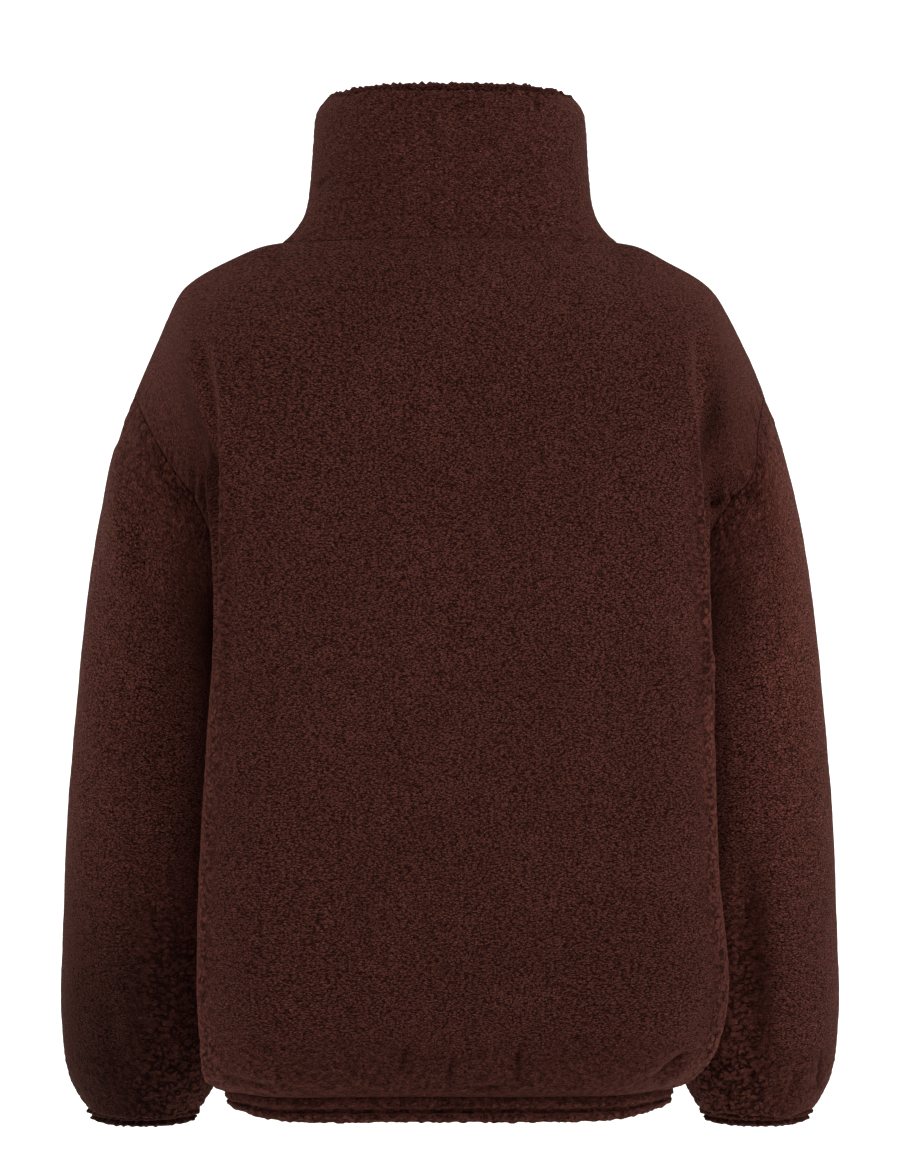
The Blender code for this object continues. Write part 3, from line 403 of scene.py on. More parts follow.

# Folded bands: wall, wall at the seam, rows that the inside repeats, step of the rolled edge, rows,
# sink, coarseness of the pile, tufts, puckers and the painted shade along the seam
BANDS = {
    "collar": (COLLAR_WALL, COLLAR_SEAM_WALL, COLLAR_INNER_ROWS, COLLAR_EDGE_STEP, COLLAR_CELLS[1],
               NECK_SINK, 0.15, 1.0, 0.25),
    "hem": (BAND_WALL, BAND_SEAM_WALL, BAND_INNER_ROWS, BAND_EDGE_STEP, HEM_CELLS[1],
            HEM_SINK, 0.6, 0.12, 0.3),
    "cuff": (CUFF_WALL, WALL, BAND_INNER_ROWS, CUFF_EDGE_STEP, CUFF_CELLS[1],
             CUFF_SINK, 0.6, 0.12, 0.3),
}

# Colour and light
GAP_BROWN = (0.0040, 0.0008, 0.0006, 1.0)
CURL_BROWN = (0.053, 0.0142, 0.0105, 1.0)
TIP_BROWN = (0.150, 0.052, 0.040, 1.0)
SHEEN_RED = (1.0, 0.36, 0.27, 1.0)
SEAM_PAINTED_SHADE = 0.42
CREASE_PAINTED_SHADE = 0.45
FLOOR_WHITE = (0.90, 0.90, 0.89, 1.0)
FLOOR_Z = -0.95
FLOOR_GLOW = 0.45

# Painted light and shade on the pile: lighter at the top, painted shade falling lower down, and its limit
PAINTED_LIGHT_TOP = 1.04
PAINTED_SHADE_FALL = 0.16
PAINTED_SHADE_FALL_Z = -0.25
PAINTED_SHADE_FALL_EASE = 0.45
PAINTED_LIGHT_LIMIT = 1.42
# Painted highlight along the fold's crest and painted shade in its valley
CREST_PAINTED_HIGHLIGHT = 0.80
VALLEY_PAINTED_SHADE = 0.50

# Patches of painted light and painted shade, each limit with its ease: side, inner half width, outer half
# width, top, bottom, then the change
PAINTED_LIGHT_PATCHES = (
    (-1, 0.180, 0.07, 1.000, 0.10, -0.40, 0.20, -1.00, 0.10, -0.44),
    (-1, 0.175, 0.03, 1.000, 0.10, -0.50, 0.12, -1.00, 0.10, -0.30),
    (-1, 0.170, 0.02, 0.235, 0.05, -0.17, 0.10, -1.00, 0.10, 0.16),
    (1, 0.240, 0.04, 1.000, 0.10, -0.10, 0.10, -0.55, 0.30, 0.22),
    (1, 0.185, 0.02, 0.280, 0.04, -0.12, 0.06, -0.62, 0.25, 0.34),
)

# Soft boxes: name, place, width and height, power
LIGHT_AIM = (0.0, 0.0, -0.3)
SOFT_BOXES = (
    ("left_box", (-2.6, -0.9, 0.3), (1.2, 2.2), 26.0),
    ("right_box", (2.5, -1.1, 0.4), (1.2, 2.2), 42.0),
    ("top_box", (0.3, -1.6, 2.4), (2.0, 1.2), 22.0),
)
SURROUND = 0.62

# Camera straight behind the top
CAMERA_PLACE = (0.0, -6.0, 0.168)
CAMERA_AIM = (0.0, 0.0, -0.264)
CAMERA_LENS = 241.0
CAMERA_SENSOR = 36.0

# Raised pile: settings of its tree
PILE_SETTINGS = {
    "Pile height": 0.0009,
    "Pucker height": 0.009,
    "Pucker reach": 0.012,
    "Tuft height": 0.0030,
}


def natural_bends(knots, values):
    """Second slopes of the smoothest curve through the values."""
    count = len(knots)
    system = np.zeros((count, count))
    right = np.zeros(values.shape)
    system[0, 0] = 1.0
    system[-1, -1] = 1.0
    steps = np.diff(knots)
    for i in range(1, count - 1):
        before = steps[i - 1]
        after = steps[i]
        system[i, i - 1] = before
        system[i, i] = 2.0 * (before + after)
        system[i, i + 1] = after
        rise_after = (values[i + 1] - values[i]) / after
        rise_before = (values[i] - values[i - 1]) / before
        right[i] = 6.0 * (rise_after - rise_before)
    return np.linalg.solve(system, right)


def curve_through(knots, values, at):
    """Smooth curve through values at rising knots, read at the places in at."""
    knots = np.asarray(knots, dtype=float)
    values = np.asarray(values, dtype=float)
    if values.ndim == 1:
        values = values[:, None]
    bends = natural_bends(knots, values)
    at = np.atleast_1d(np.asarray(at, dtype=float))
    cell = np.clip(np.searchsorted(knots, at, side="right") - 1, 0, len(knots) - 2)
    step = (knots[cell + 1] - knots[cell])[:, None]
    ahead = (knots[cell + 1] - at)[:, None] / step
    behind = 1.0 - ahead
    bow = (ahead ** 3 - ahead) * bends[cell] + (behind ** 3 - behind) * bends[cell + 1]
    return ahead * values[cell] + behind * values[cell + 1] + bow * step ** 2 / 6.0


def table_curve(rows, at):
    """Smooth curve through a table, whose first column holds the knots, read at the places in at."""
    table = np.array(rows, dtype=float)
    return curve_through(table[:, 0], table[:, 1:], at)


def run_lengths(points):
    """Length along a line of points, from its start to each point."""
    steps = np.linalg.norm(np.diff(points, axis=0), axis=-1)
    start = np.zeros((1,) + steps.shape[1:])
    return np.concatenate([start, np.cumsum(steps, axis=0)])


def curve_by_length(knots, points, at):
    """Smooth curve spaced by its own length, read at places given on the knots."""
    lengths = run_lengths(points)
    return curve_through(lengths, points, np.interp(at, knots, lengths))


def closed_curve_through(knots, points, period, at):
    """Smooth closed curve, made by running the points round three times."""
    knots = np.asarray(knots, dtype=float)
    long_knots = np.concatenate([knots - period, knots, knots + period])
    long_points = np.concatenate([points, points, points])
    return curve_by_length(long_knots, long_points, np.mod(at, period))


def even_places(read, start, end, count):
    """Places from start to end that lie at even lengths along the curve that read gives."""
    trial = np.linspace(start, end, TRIAL_PLACES)
    lengths = run_lengths(read(trial))
    return np.interp(np.linspace(0.0, lengths[-1], count), lengths, trial)


def resample_rows(rows, count):
    """The rows of a sheet, run through smoothly and spaced evenly by their mean length."""
    lengths = run_lengths(rows).mean(axis=1)
    flat = rows.reshape(len(rows), -1)
    even = curve_through(lengths, flat, np.linspace(0.0, lengths[-1], count))
    return even.reshape((count,) + rows.shape[1:])


def smooth_step(share):
    """Ease from 0 to 1."""
    share = np.clip(share, 0.0, 1.0)
    return share * share * (3.0 - 2.0 * share)


def unit(vectors):
    """Vectors at length one."""
    lengths = np.linalg.norm(vectors, axis=-1, keepdims=True)
    return vectors / np.maximum(lengths, 1e-12)


def hermite(start, leaving, end, arriving, share):
    """Point on the curve with these ends and end directions."""
    squared = share * share
    cubed = squared * share
    start_part = (2.0 * cubed - 3.0 * squared + 1.0) * start
    leaving_part = (cubed - 2.0 * squared + share) * leaving
    end_part = (3.0 * squared - 2.0 * cubed) * end
    arriving_part = (cubed - squared) * arriving
    return start_part + leaving_part + end_part + arriving_part


def half_stations(crest, valley, side, crest_depth, middle_depth, facing):
    """Plan points from the middle of one face to its side seam."""
    drop = crest - valley
    level = facing * crest_depth
    if facing == FRONT:
        level += FRONT_CREST_FORWARD
    to_side = SIDE_DEPTH - level
    middle = middle_depth
    return [
        (0.0, middle),
        (FLAT_HALF_WIDTH, middle - facing * FLAT_RISE),
        (crest - TURN_INSET, middle - facing * TURN_RISE),
        (crest - CREST_LEAD, level + facing * CREST_STEP),
        (crest, level),
        (crest - UNDER_DROP * drop, level + UNDER_WAY * to_side),
        (crest - VALLEY_DROP * drop, level + VALLEY_WAY * to_side),
        (side, SIDE_DEPTH),
    ]


@functools.lru_cache(maxsize=None)
def section_ring(height):
    """Knots and plan points all round the body at a height."""
    found = table_curve(BODY_SECTIONS, height)[0]
    back_depth, front_depth, crest_right, crest_left, crest_front, level, valley, side = found
    back_right = half_stations(crest_right, valley, side, level, back_depth, BACK)
    back_left = half_stations(crest_left, valley, side, level, back_depth, BACK)
    front = half_stations(crest_front, valley, side, level, front_depth, FRONT)
    knots = []
    points = []
    for share, point in zip(STATION_SHARES, back_right):
        knots.append(share)
        points.append(point)
    for share, point in reversed(list(zip(STATION_SHARES, front))[:-1]):
        knots.append(2.0 - share)
        points.append(point)
    for share, point in list(zip(STATION_SHARES, front))[1:]:
        knots.append(2.0 + share)
        points.append((-point[0], point[1]))
    for share, point in reversed(list(zip(STATION_SHARES, back_left))[1:-1]):
        knots.append(4.0 - share)
        points.append((-point[0], point[1]))
    return np.array(knots), np.array(points)


def ring_place(facing, shares):
    """Place round the whole ring, 0 to 4, of shares -1 to 1 across one panel."""
    shares = np.asarray(shares, dtype=float)
    if facing == BACK:
        return np.mod(shares, 4.0)
    return 2.0 - shares


def lower_points(facing, shares, height):
    """Points of a panel below the underarm at one table height."""
    shares = np.atleast_1d(np.asarray(shares, dtype=float))
    knots, points = section_ring(float(height))
    plan = closed_curve_through(knots, points, 4.0, ring_place(facing, shares))
    fade = smooth_step((HEM_DROOP_TOP_Z - height) / (HEM_DROOP_TOP_Z - HEM_SEAM_Z))
    side_droop = np.where(shares > 0.0, HEM_DROOP_RIGHT, HEM_DROOP_LEFT)
    droop = side_droop * fade * np.sin(np.abs(shares) * math.pi / 2.0) ** 2
    return np.column_stack([plan[:, 0], plan[:, 1], height - droop])


def top_edge(facing, shares):
    """Neck seam, then shoulder seam, for shares -1 to 1 across a panel."""
    shares = np.atleast_1d(np.asarray(shares, dtype=float))
    neck = BACK_NECK if facing == BACK else FRONT_NECK
    mirrored = [(-row[0], -row[1], row[2], row[3]) for row in reversed(neck[1:])]
    whole_neck = mirrored + list(neck)
    side = np.where(shares >= 0.0, 1.0, -1.0)
    size = np.abs(shares)
    along_neck = np.clip(size / NECK_SHARE, 0.0, 1.0)
    found = table_curve(whole_neck, along_neck)
    along_shoulder = np.clip((size - NECK_SHARE) / (1.0 - NECK_SHARE), 0.0, 1.0)
    shoulder = table_curve(SHOULDER, along_shoulder)
    width = np.where(side > 0.0, shoulder[:, 0], shoulder[:, 1])
    on_shoulder = np.column_stack([width, shoulder[:, 2], shoulder[:, 3]])
    result = np.where((size <= NECK_SHARE)[:, None], found, on_shoulder)
    result[:, 0] *= side
    return result


def armhole_edge(facing, side, climbs):
    """Points on an armhole seam, from the underarm at 0 to the shoulder at 1."""
    rows = ARMHOLE_FRONT
    if facing == BACK:
        rows = ARMHOLE_BACK_RIGHT if side > 0 else ARMHOLE_BACK_LEFT
    climbs = np.atleast_1d(np.asarray(climbs, dtype=float))
    found = table_curve(rows, climbs)
    end_width = SHOULDER[-1][1] if side > 0 else SHOULDER[-1][2]
    found[:, 0] += (end_width - rows[-1][1]) * climbs ** ARMHOLE_FADE_POWER
    found[:, 0] *= side
    return found


@functools.lru_cache(maxsize=None)
def column_ends(facing, share):
    """Ends and end directions of a column of cloth from the underarm level to the top."""
    low = lower_points(facing, share, UNDERARM_Z)[0]
    below = lower_points(facing, share, UNDERARM_Z - NUDGE)[0]
    high = top_edge(facing, share)[0]
    reach = np.linalg.norm(high - low)
    leaving = unit(low - below) * reach * DEPARTURE_PULL
    rise, pull = table_curve(ARRIVAL, abs(share))[0]
    angle = math.radians(rise)
    arriving = np.array([0.0, -facing * math.cos(angle), math.sin(angle)]) * reach * pull
    return low, leaving, high, arriving


def rail_points(facing, climb):
    """Shares and points of the named columns at one climb, left side to right side."""
    shares = []
    points = []
    for side in (-1.0, 1.0):
        crest_ends = column_ends(facing, side * CREST_SHARE)
        seam_ends = column_ends(facing, side)
        crest = hermite(*crest_ends, climb)
        seam = armhole_edge(facing, side, climb)[0]
        rows = []
        for share in STATION_SHARES:
            if share == 0.0 and side < 0.0:
                continue
            ends = column_ends(facing, side * share)
            if share <= CREST_SHARE:
                rows.append((side * share, hermite(*ends, climb)))
                continue
            across = (share - CREST_SHARE) / (1.0 - CREST_SHARE)
            low_bow = ends[0] - (crest_ends[0] + across * (seam_ends[0] - crest_ends[0]))
            high_bow = ends[2] - (crest_ends[2] + across * (seam_ends[2] - crest_ends[2]))
            point = crest + across * (seam - crest)
            point = point + low_bow * math.exp(-climb / FOLD_DECAY) * (1.0 - climb)
            point = point + high_bow * climb ** 2
            rows.append((side * share, point))
        if side < 0.0:
            rows.reverse()
        shares += [row[0] for row in rows]
        points += [row[1] for row in rows]
    return np.array(shares), np.array(points)


def upper_rows(facing, shares, climbs):
    """Rows of a panel above the underarm, climb 0 at the underarm level to 1 at the top."""
    low_miss = lower_points(facing, shares, UNDERARM_Z)
    low_miss = low_miss - curve_by_length(*rail_points(facing, 0.0), shares)
    high_miss = top_edge(facing, shares) - curve_by_length(*rail_points(facing, 1.0), shares)
    rows = []
    for climb in climbs:
        surface = curve_by_length(*rail_points(facing, climb), shares)
        low_part = low_miss * (1.0 - climb) ** LOW_FADE_POWER
        high_part = high_miss * climb ** HIGH_FADE_POWER
        rows.append(surface + low_part + high_part)
    return np.array(rows)


def panel_sheet(facing, cells):
    """Fine outside of a panel: rows up from the hem seam, columns from left to right."""
    across, along = cells
    middle_z = (UNDERARM_Z + HEM_SEAM_Z) / 2.0
    shares = even_places(lambda at: lower_points(facing, at, middle_z), -1.0, 1.0, across + 1)
    for corner in (-NECK_SHARE, NECK_SHARE):
        shares[np.abs(shares - corner).argmin()] = corner

    def lower_column(at):
        return np.array([lower_points(facing, LOWER_GUIDE_SHARE, z)[0] for z in at])

    def upper_column(at):
        return np.array([hermite(*column_ends(facing, UPPER_GUIDE_SHARE), c) for c in at])

    lower_line = even_places(lower_column, HEM_SEAM_Z, UNDERARM_Z, TRIAL_PLACES)
    upper_line = even_places(upper_column, 0.0, 1.0, TRIAL_PLACES)
    lower_length = UNDERARM_Z - HEM_SEAM_Z
    upper_length = run_lengths(upper_column(upper_line))[-1]
    lower_count = int(round(along * lower_length / (lower_length + upper_length)))
    even = np.linspace(0.0, 1.0, TRIAL_PLACES)
    heights = np.interp(np.linspace(0.0, 1.0, lower_count + 1), even, lower_line)
    climbs = np.interp(np.linspace(0.0, 1.0, along - lower_count + 1), even, upper_line)
    lower = np.array([lower_points(facing, shares, z) for z in heights[:-1]])
    upper = upper_rows(facing, shares, climbs)
    return shares, np.concatenate([lower, upper])


def sleeve_sections(turns, heights):
    """Rows round the free part of the right sleeve at the given heights."""
    middle, depth, wide, deep = table_curve(SLEEVE_SECTIONS[::-1], heights).T[:, :, None]
    x = middle + wide * np.cos(turns)
    y = depth - deep * np.sin(turns)
    z = np.broadcast_to(np.asarray(heights, dtype=float)[:, None], x.shape)
    return np.stack([x, y, z], axis=-1)


def sleeve_valley_depth(side, turns, height):
    """How far the long soft valleys press the sleeve in at one height."""
    inward = np.zeros(len(turns))
    for valley_side, degrees, spread, top, bottom, depth in SLEEVE_VALLEYS:
        if valley_side != side:
            continue
        off = (np.degrees(turns) - degrees) / spread
        ease = smooth_step((top - height) / VALLEY_TOP_EASE)
        ease *= smooth_step((height - bottom) / VALLEY_BOTTOM_EASE)
        inward += depth * np.exp(-off * off) * ease
    return inward


def sleeve_sheet(side, cells):
    """Fine outside of a sleeve: rows down from the armhole, columns round it from the underarm."""
    around, along = cells
    middle_z = [(SLEEVE_TOP_Z + CUFF_SEAM_Z) / 2.0]
    turns = even_places(lambda at: sleeve_sections(at, middle_z)[0], 0.0, 2.0 * math.pi, around + 1)[:-1]
    on_back = turns <= math.pi
    climbs = np.where(on_back, 1.0 - turns / math.pi, turns / math.pi - 1.0)
    starts = np.where(on_back[:, None],
                      armhole_edge(BACK, side, climbs), armhole_edge(FRONT, side, climbs))
    mirror = np.array([side, 1.0, 1.0])
    begin = starts * mirror
    end, further = sleeve_sections(turns, [SLEEVE_TOP_Z, SLEEVE_TOP_Z - NUDGE])
    reach = np.linalg.norm(end - begin, axis=1, keepdims=True)
    leaving = unit(table_curve(SLEEVE_LEAVING, np.degrees(turns)))
    arriving = unit(further - end) * reach
    rows = [hermite(begin, leaving * reach, end, arriving, share) for share in SLEEVE_BLEND]
    for row, height in zip(sleeve_sections(turns, SLEEVE_ROWS), SLEEVE_ROWS):
        centre = (row.max(axis=0) + row.min(axis=0)) / 2.0
        inward = sleeve_valley_depth(side, turns, height)
        rows.append(row + unit(centre - row) * inward[:, None])
    last = sleeve_sections(turns, [SLEEVE_ROWS[-1]])[0]
    centre = (last.max(axis=0) + last.min(axis=0)) / 2.0
    turned = centre + (last - centre) * SLEEVE_TURN_SCALE
    turned[:, 2] = SLEEVE_TURN_Z
    x = centre[0] + CUFF_HALF_WIDTH * np.cos(turns)
    y = centre[1] - CUFF_HALF_DEPTH * np.sin(turns)
    seam = np.column_stack([x, y, np.full(len(turns), CUFF_SEAM_Z)])
    rows += [turned, seam]
    return resample_rows(np.array(rows), along + 1) * mirror


def collar_outline(seam, height):
    """Ring of the upright collar at a height, one point for each seam point."""
    wide, back, front = table_curve(COLLAR_RINGS, height).T
    middle = (back + front) / 2.0
    deep = (front - back) / 2.0
    angle = np.arctan2((seam[:, 1] - middle) / deep, seam[:, 0] / wide)
    return np.column_stack([wide * np.cos(angle), middle + deep * np.sin(angle), height])


def rim_height(seam):
    """Height of the collar's top edge above each seam point."""
    angle = np.arctan2(seam[:, 1] / NECK_HALF_DEPTH, seam[:, 0] / NECK_HALF_WIDTH)
    share = (1.0 + np.sin(angle)) / 2.0
    level = COLLAR_BACK_RIM_Z + (COLLAR_FRONT_RIM_Z - COLLAR_BACK_RIM_Z) * share
    return level - COLLAR_SIDE_DIP * np.abs(np.cos(angle)) ** COLLAR_SIDE_DIP_POWER


def collar_rows(seam):
    """Outside of the collar, rows up from the seam to the rim."""
    rows = []
    for share in COLLAR_STEPS + COLLAR_RIM_STEPS:
        height = seam[:, 2] + (rim_height(seam) - seam[:, 2]) * share
        ring = collar_outline(seam, height)
        foot = collar_outline(seam, seam[:, 2])
        near_rim = np.clip(1.0 - (rim_height(seam) - height) / COLLAR_ROLL_HEIGHT, 0.0, 1.0)
        sideways = (ring[:, 0] / NECK_HALF_WIDTH) ** 3 / COLLAR_TOP_SHARE ** 3
        ring[:, 0] -= COLLAR_SIDE_ROLL * near_rim ** 2 * sideways
        flare = np.exp(-(height - seam[:, 2]) / COLLAR_FLARE_HEIGHT)
        rows.append(ring + (seam - foot) * flare[:, None])
    return np.array(rows)


def even_ring(ring, count):
    """Points spaced evenly round a closed ring."""
    closed = np.concatenate([ring, ring[:1]])
    lengths = run_lengths(closed)
    places = np.linspace(0.0, lengths[-1], count + 1)[:-1]
    return np.column_stack([np.interp(places, lengths, closed[:, k]) for k in range(3)])


def neck_ring(count):
    """Neck seam all round: along the back to the right, then the front to the left."""
    shares = np.linspace(-NECK_SHARE, NECK_SHARE, 500)
    back = top_edge(BACK, shares)
    front = top_edge(FRONT, shares)[::-1]
    return even_ring(np.concatenate([back, front[1:-1]]), count)


def hem_ring(count):
    """Hem seam all round: along the back to the right, then the front to the left."""
    shares = np.linspace(-1.0, 1.0, 900)
    back = lower_points(BACK, shares, HEM_SEAM_Z)
    front = lower_points(FRONT, shares, HEM_SEAM_Z)[::-1]
    return even_ring(np.concatenate([back, front[1:-1]]), count)


def hang_over(grid, side):
    """The sleeve with its full end dropped and spread unevenly over the cuff."""
    off = edge_reach(grid, "last")[0]
    turn = np.argmin(np.abs(off.mean(axis=1) - LIP_TURN))
    away = off - off[turn].mean()
    reach = np.where(away > 0.0, LIP_REACH, LIP_REACH_BELOW)
    share = np.exp(-(away / reach) ** 2)
    angle = np.linspace(0.0, 2.0 * math.pi, grid.shape[1], endpoint=False)
    wave = np.ones(grid.shape[1])
    for count, start, size in LIP_WAVES:
        wave += size * np.sin(count * angle + start * side)
    sideways = np.cos(angle)[None, :] ** 2
    share = share * np.clip(wave, 0.1, 2.0)[None, :] * (1.0 - LIP_SIDE_CALM * sideways)
    centre = grid[-1].mean(axis=0)
    outward = grid - centre
    outward[..., 2] = 0.0
    round_off = LIP_ROUND * sideways * np.exp(-(away / LIP_ROUND_REACH) ** 2)
    moved = grid + unit(outward) * (share * LIP_SPREAD - round_off)[..., None]
    moved[..., 2] -= share * LIP_DROP
    moved[..., 2] += LIP_ROUND_RISE * round_off
    return moved


def gather_cuff(rows):
    """The cuff drawn in towards its opening, with small upright gathers."""
    share = np.linspace(0.0, 1.0, len(rows))[:, None]
    centre = rows[0].mean(axis=0)
    outward = rows - centre
    outward[..., 2] = 0.0
    angle = np.arctan2(outward[..., 1], outward[..., 0])
    folds = np.sin(CUFF_GATHER_COUNT * angle + CUFF_GATHER_SWAY * np.sin(CUFF_GATHER_SWAYS * angle))
    step = -CUFF_TAPER * share ** 2 + CUFF_GATHERS * folds * np.minimum(share * 3.0, 1.0)
    return rows + unit(outward) * step[..., None]


def band_rows(ring, height, side_share, puff, groove):
    """Outside of a gathered band that hangs from a seam ring, rows down; side_share narrows its sides."""
    centre = ring.mean(axis=0)
    outward = ring - centre
    outward[:, 2] = 0.0
    widest = np.max(np.abs(outward[:, 0]))
    narrowing = (1.0 - side_share) * np.abs(outward[:, 0] / widest) ** BAND_NARROWING_POWER
    heights = height * (1.0 - narrowing)
    calm = 1.0 - BAND_SIDE_CALM * (np.abs(outward[:, 0]) / widest) ** BAND_CALM_POWER * (side_share < 1.0)
    outward = unit(outward)
    rows = []
    for share, swell, dip in BAND_ROWS:
        row = ring + outward * ((puff * swell - groove * dip) * calm)[:, None]
        row -= outward * (BAND_TUCK * share * (1.0 - calm))[:, None]
        row[:, 2] -= heights * share
        rows.append(row)
    return np.array(rows)


def grid_normals(grid, wrap, flip):
    """Outward directions at the points of a grid from its neighbours."""
    down = np.gradient(grid, axis=0)
    if wrap:
        round_it = (np.roll(grid, -1, axis=1) - np.roll(grid, 1, axis=1)) / 2.0
    else:
        round_it = np.gradient(grid, axis=1)
    normal = np.cross(down, round_it)
    return unit(normal) * (-1.0 if flip else 1.0)


SEAM_EDGES = []


def note_seam(points, normals):
    """Remember which way a sewn edge faces."""
    SEAM_EDGES.append((points, normals))


def seam_direction(points):
    """Direction straight into a seam, shared by the pieces that meet at each point."""
    total = np.zeros_like(points)
    for line, facing in SEAM_EDGES:
        gap = np.linalg.norm(points[:, None] - line[None], axis=2)
        meets = gap.min(axis=1) < SEAM_REACH
        total += facing[gap.argmin(axis=1)] * meets[:, None]
    return -unit(total)


def sink_seams(grid, edges):
    """The sheet drawn in along its sewn edges: edge name, then depth and reach."""
    best_off = np.full(grid.shape[:2], 1.0)
    shift = np.zeros_like(grid)
    for which, (depth, reach) in edges:
        off = edge_reach(grid, which)[0]
        line = {"first": grid[0], "last": grid[-1], "left": grid[:, 0], "right": grid[:, -1]}[which]
        into = seam_direction(line)
        into = into[None] if which in ("first", "last") else into[:, None]
        pull = into * (depth * np.exp(-(off / reach) ** 2))[..., None]
        shift = np.where((off < best_off)[..., None], pull, shift)
        best_off = np.minimum(off, best_off)
    return grid + shift


def line_distance(places, line):
    """Distance of places in a view from a line, and how near its ends they lie."""
    best = np.full(places.shape[:2], 1.0)
    run = np.zeros(places.shape[:2])
    line = np.array(line)
    lengths = run_lengths(line)
    for start, end, before in zip(line[:-1], line[1:], lengths[:-1]):
        along = end - start
        share = np.clip(((places - start) @ along) / (along @ along), 0.0, 1.0)
        gap = np.linalg.norm(places - start - share[..., None] * along, axis=-1)
        run = np.where(gap < best, before + share * np.linalg.norm(along), run)
        best = np.minimum(gap, best)
    share = run / lengths[-1]
    return best, np.sin(np.clip(share, 0.0, 1.0) * math.pi) ** 0.5


def press_creases(grid, normals, facing, creases, sewn):
    """The sheet with troughs and ridges on its back or front, and a layer of painted shade along the sharp
    ones.

    The deep ones ease out towards the sewn edges.
    """
    from_seam = np.min([edge_reach(grid, which)[0] for which in sewn], axis=0)
    places = grid[..., [0, 2]]
    faces_us = smooth_step(normals[..., 1] * facing / CREASE_FACING)
    depth_total = np.zeros(grid.shape[:2])
    painted_crease_shade = np.zeros(grid.shape[:2])
    for line, reach, depth in creases:
        gap, ease = line_distance(places, line)
        depth_total += depth * np.exp(-(gap / reach) ** 2) * ease * faces_us
        if reach < SHARP_CREASE_REACH and depth > 0.0:
            painted_crease_shade = np.maximum(painted_crease_shade, np.exp(-(gap / CREASE_SHADE_REACH) ** 2) * ease * faces_us)
    depth_total *= np.where(np.abs(depth_total) > DEEP_CREASE, smooth_step(from_seam / SEAM_CALM), 1.0)
    return grid - normals * depth_total[..., None], painted_crease_shade


def seam_inward(points, normals, wall):
    """Inner points of a mitred wall along a sewn edge."""
    direction = seam_direction(points)
    lean = np.maximum(-np.sum(direction * normals, axis=1), 1.0 / LONGEST_MITRE)
    return points + direction * (wall / lean)[:, None]


def rolled_loop(outer, normals, wall, seam_wall, inner_rows, edge_step, count):
    """Rows of a folded band: the outside from the seam, a rounded edge, then the inside back."""
    rows = [row.copy() for row in outer]
    last = outer[-1]
    beyond = unit(last - outer[-2])
    inward = -normals[-1]
    half = wall / 2.0
    for degrees in EDGE_TURNS:
        angle = math.radians(degrees)
        rows.append(last + inward * half * (1.0 - math.cos(angle)) + beyond * edge_step * math.sin(angle))
    for row in inner_rows:
        rows.append(outer[row] - normals[row] * wall)
    rows.append(seam_inward(outer[0], normals[0], seam_wall))
    return resample_rows(np.array(rows), count)


def mesh_object(name, points, faces, layers):
    """Smooth mesh object with outward faces and its named point layers."""
    mesh = bpy.data.meshes.new(name)
    mesh.from_pydata(points.tolist(), [], faces)
    mesh.validate()
    mesh.update()
    for layer_name, (kind, values) in layers.items():
        layer = mesh.attributes.new(layer_name, kind, "POINT")
        key = "vector" if kind == "FLOAT_VECTOR" else "value"
        layer.data.foreach_set(key, np.asarray(values, dtype=np.float32).ravel())
    mesh.polygons.foreach_set("use_smooth", np.ones(len(mesh.polygons), dtype=bool))
    thing = bpy.data.objects.new(name, mesh)
    bpy.context.scene.collection.objects.link(thing)
    return thing


def volume_of(points, faces):
    """Signed volume of a closed mesh, near enough to tell its inside from its outside."""
    quads = points[np.array([face[:4] for face in faces])]
    crossed = np.cross(quads[:, 2] - quads[:, 0], quads[:, 3] - quads[:, 1])
    return float(np.sum(quads.mean(axis=1) * crossed)) / 6.0


def grid_quads(rows, columns, wrap, start, flip):
    """Quads of a grid whose first point has the number start."""
    faces = []
    last = columns if wrap else columns - 1
    for i in range(rows - 1):
        for j in range(last):
            k = (j + 1) % columns
            quad = (i * columns + j, i * columns + k, (i + 1) * columns + k, (i + 1) * columns + j)
            quad = tuple(start + number for number in quad)
            faces.append(quad[::-1] if flip else quad)
    return faces


def rim_faces(fine, coarse, flip):
    """Faces from each coarse step of an inner edge to the four fine steps of the outer edge."""
    faces = []
    for k in range(len(coarse) - 1):
        outer = fine[k * FOURS:(k + 1) * FOURS + 1]
        face = tuple(outer) + (coarse[k + 1], coarse[k])
        faces.append(face[::-1] if flip else face)
    return faces


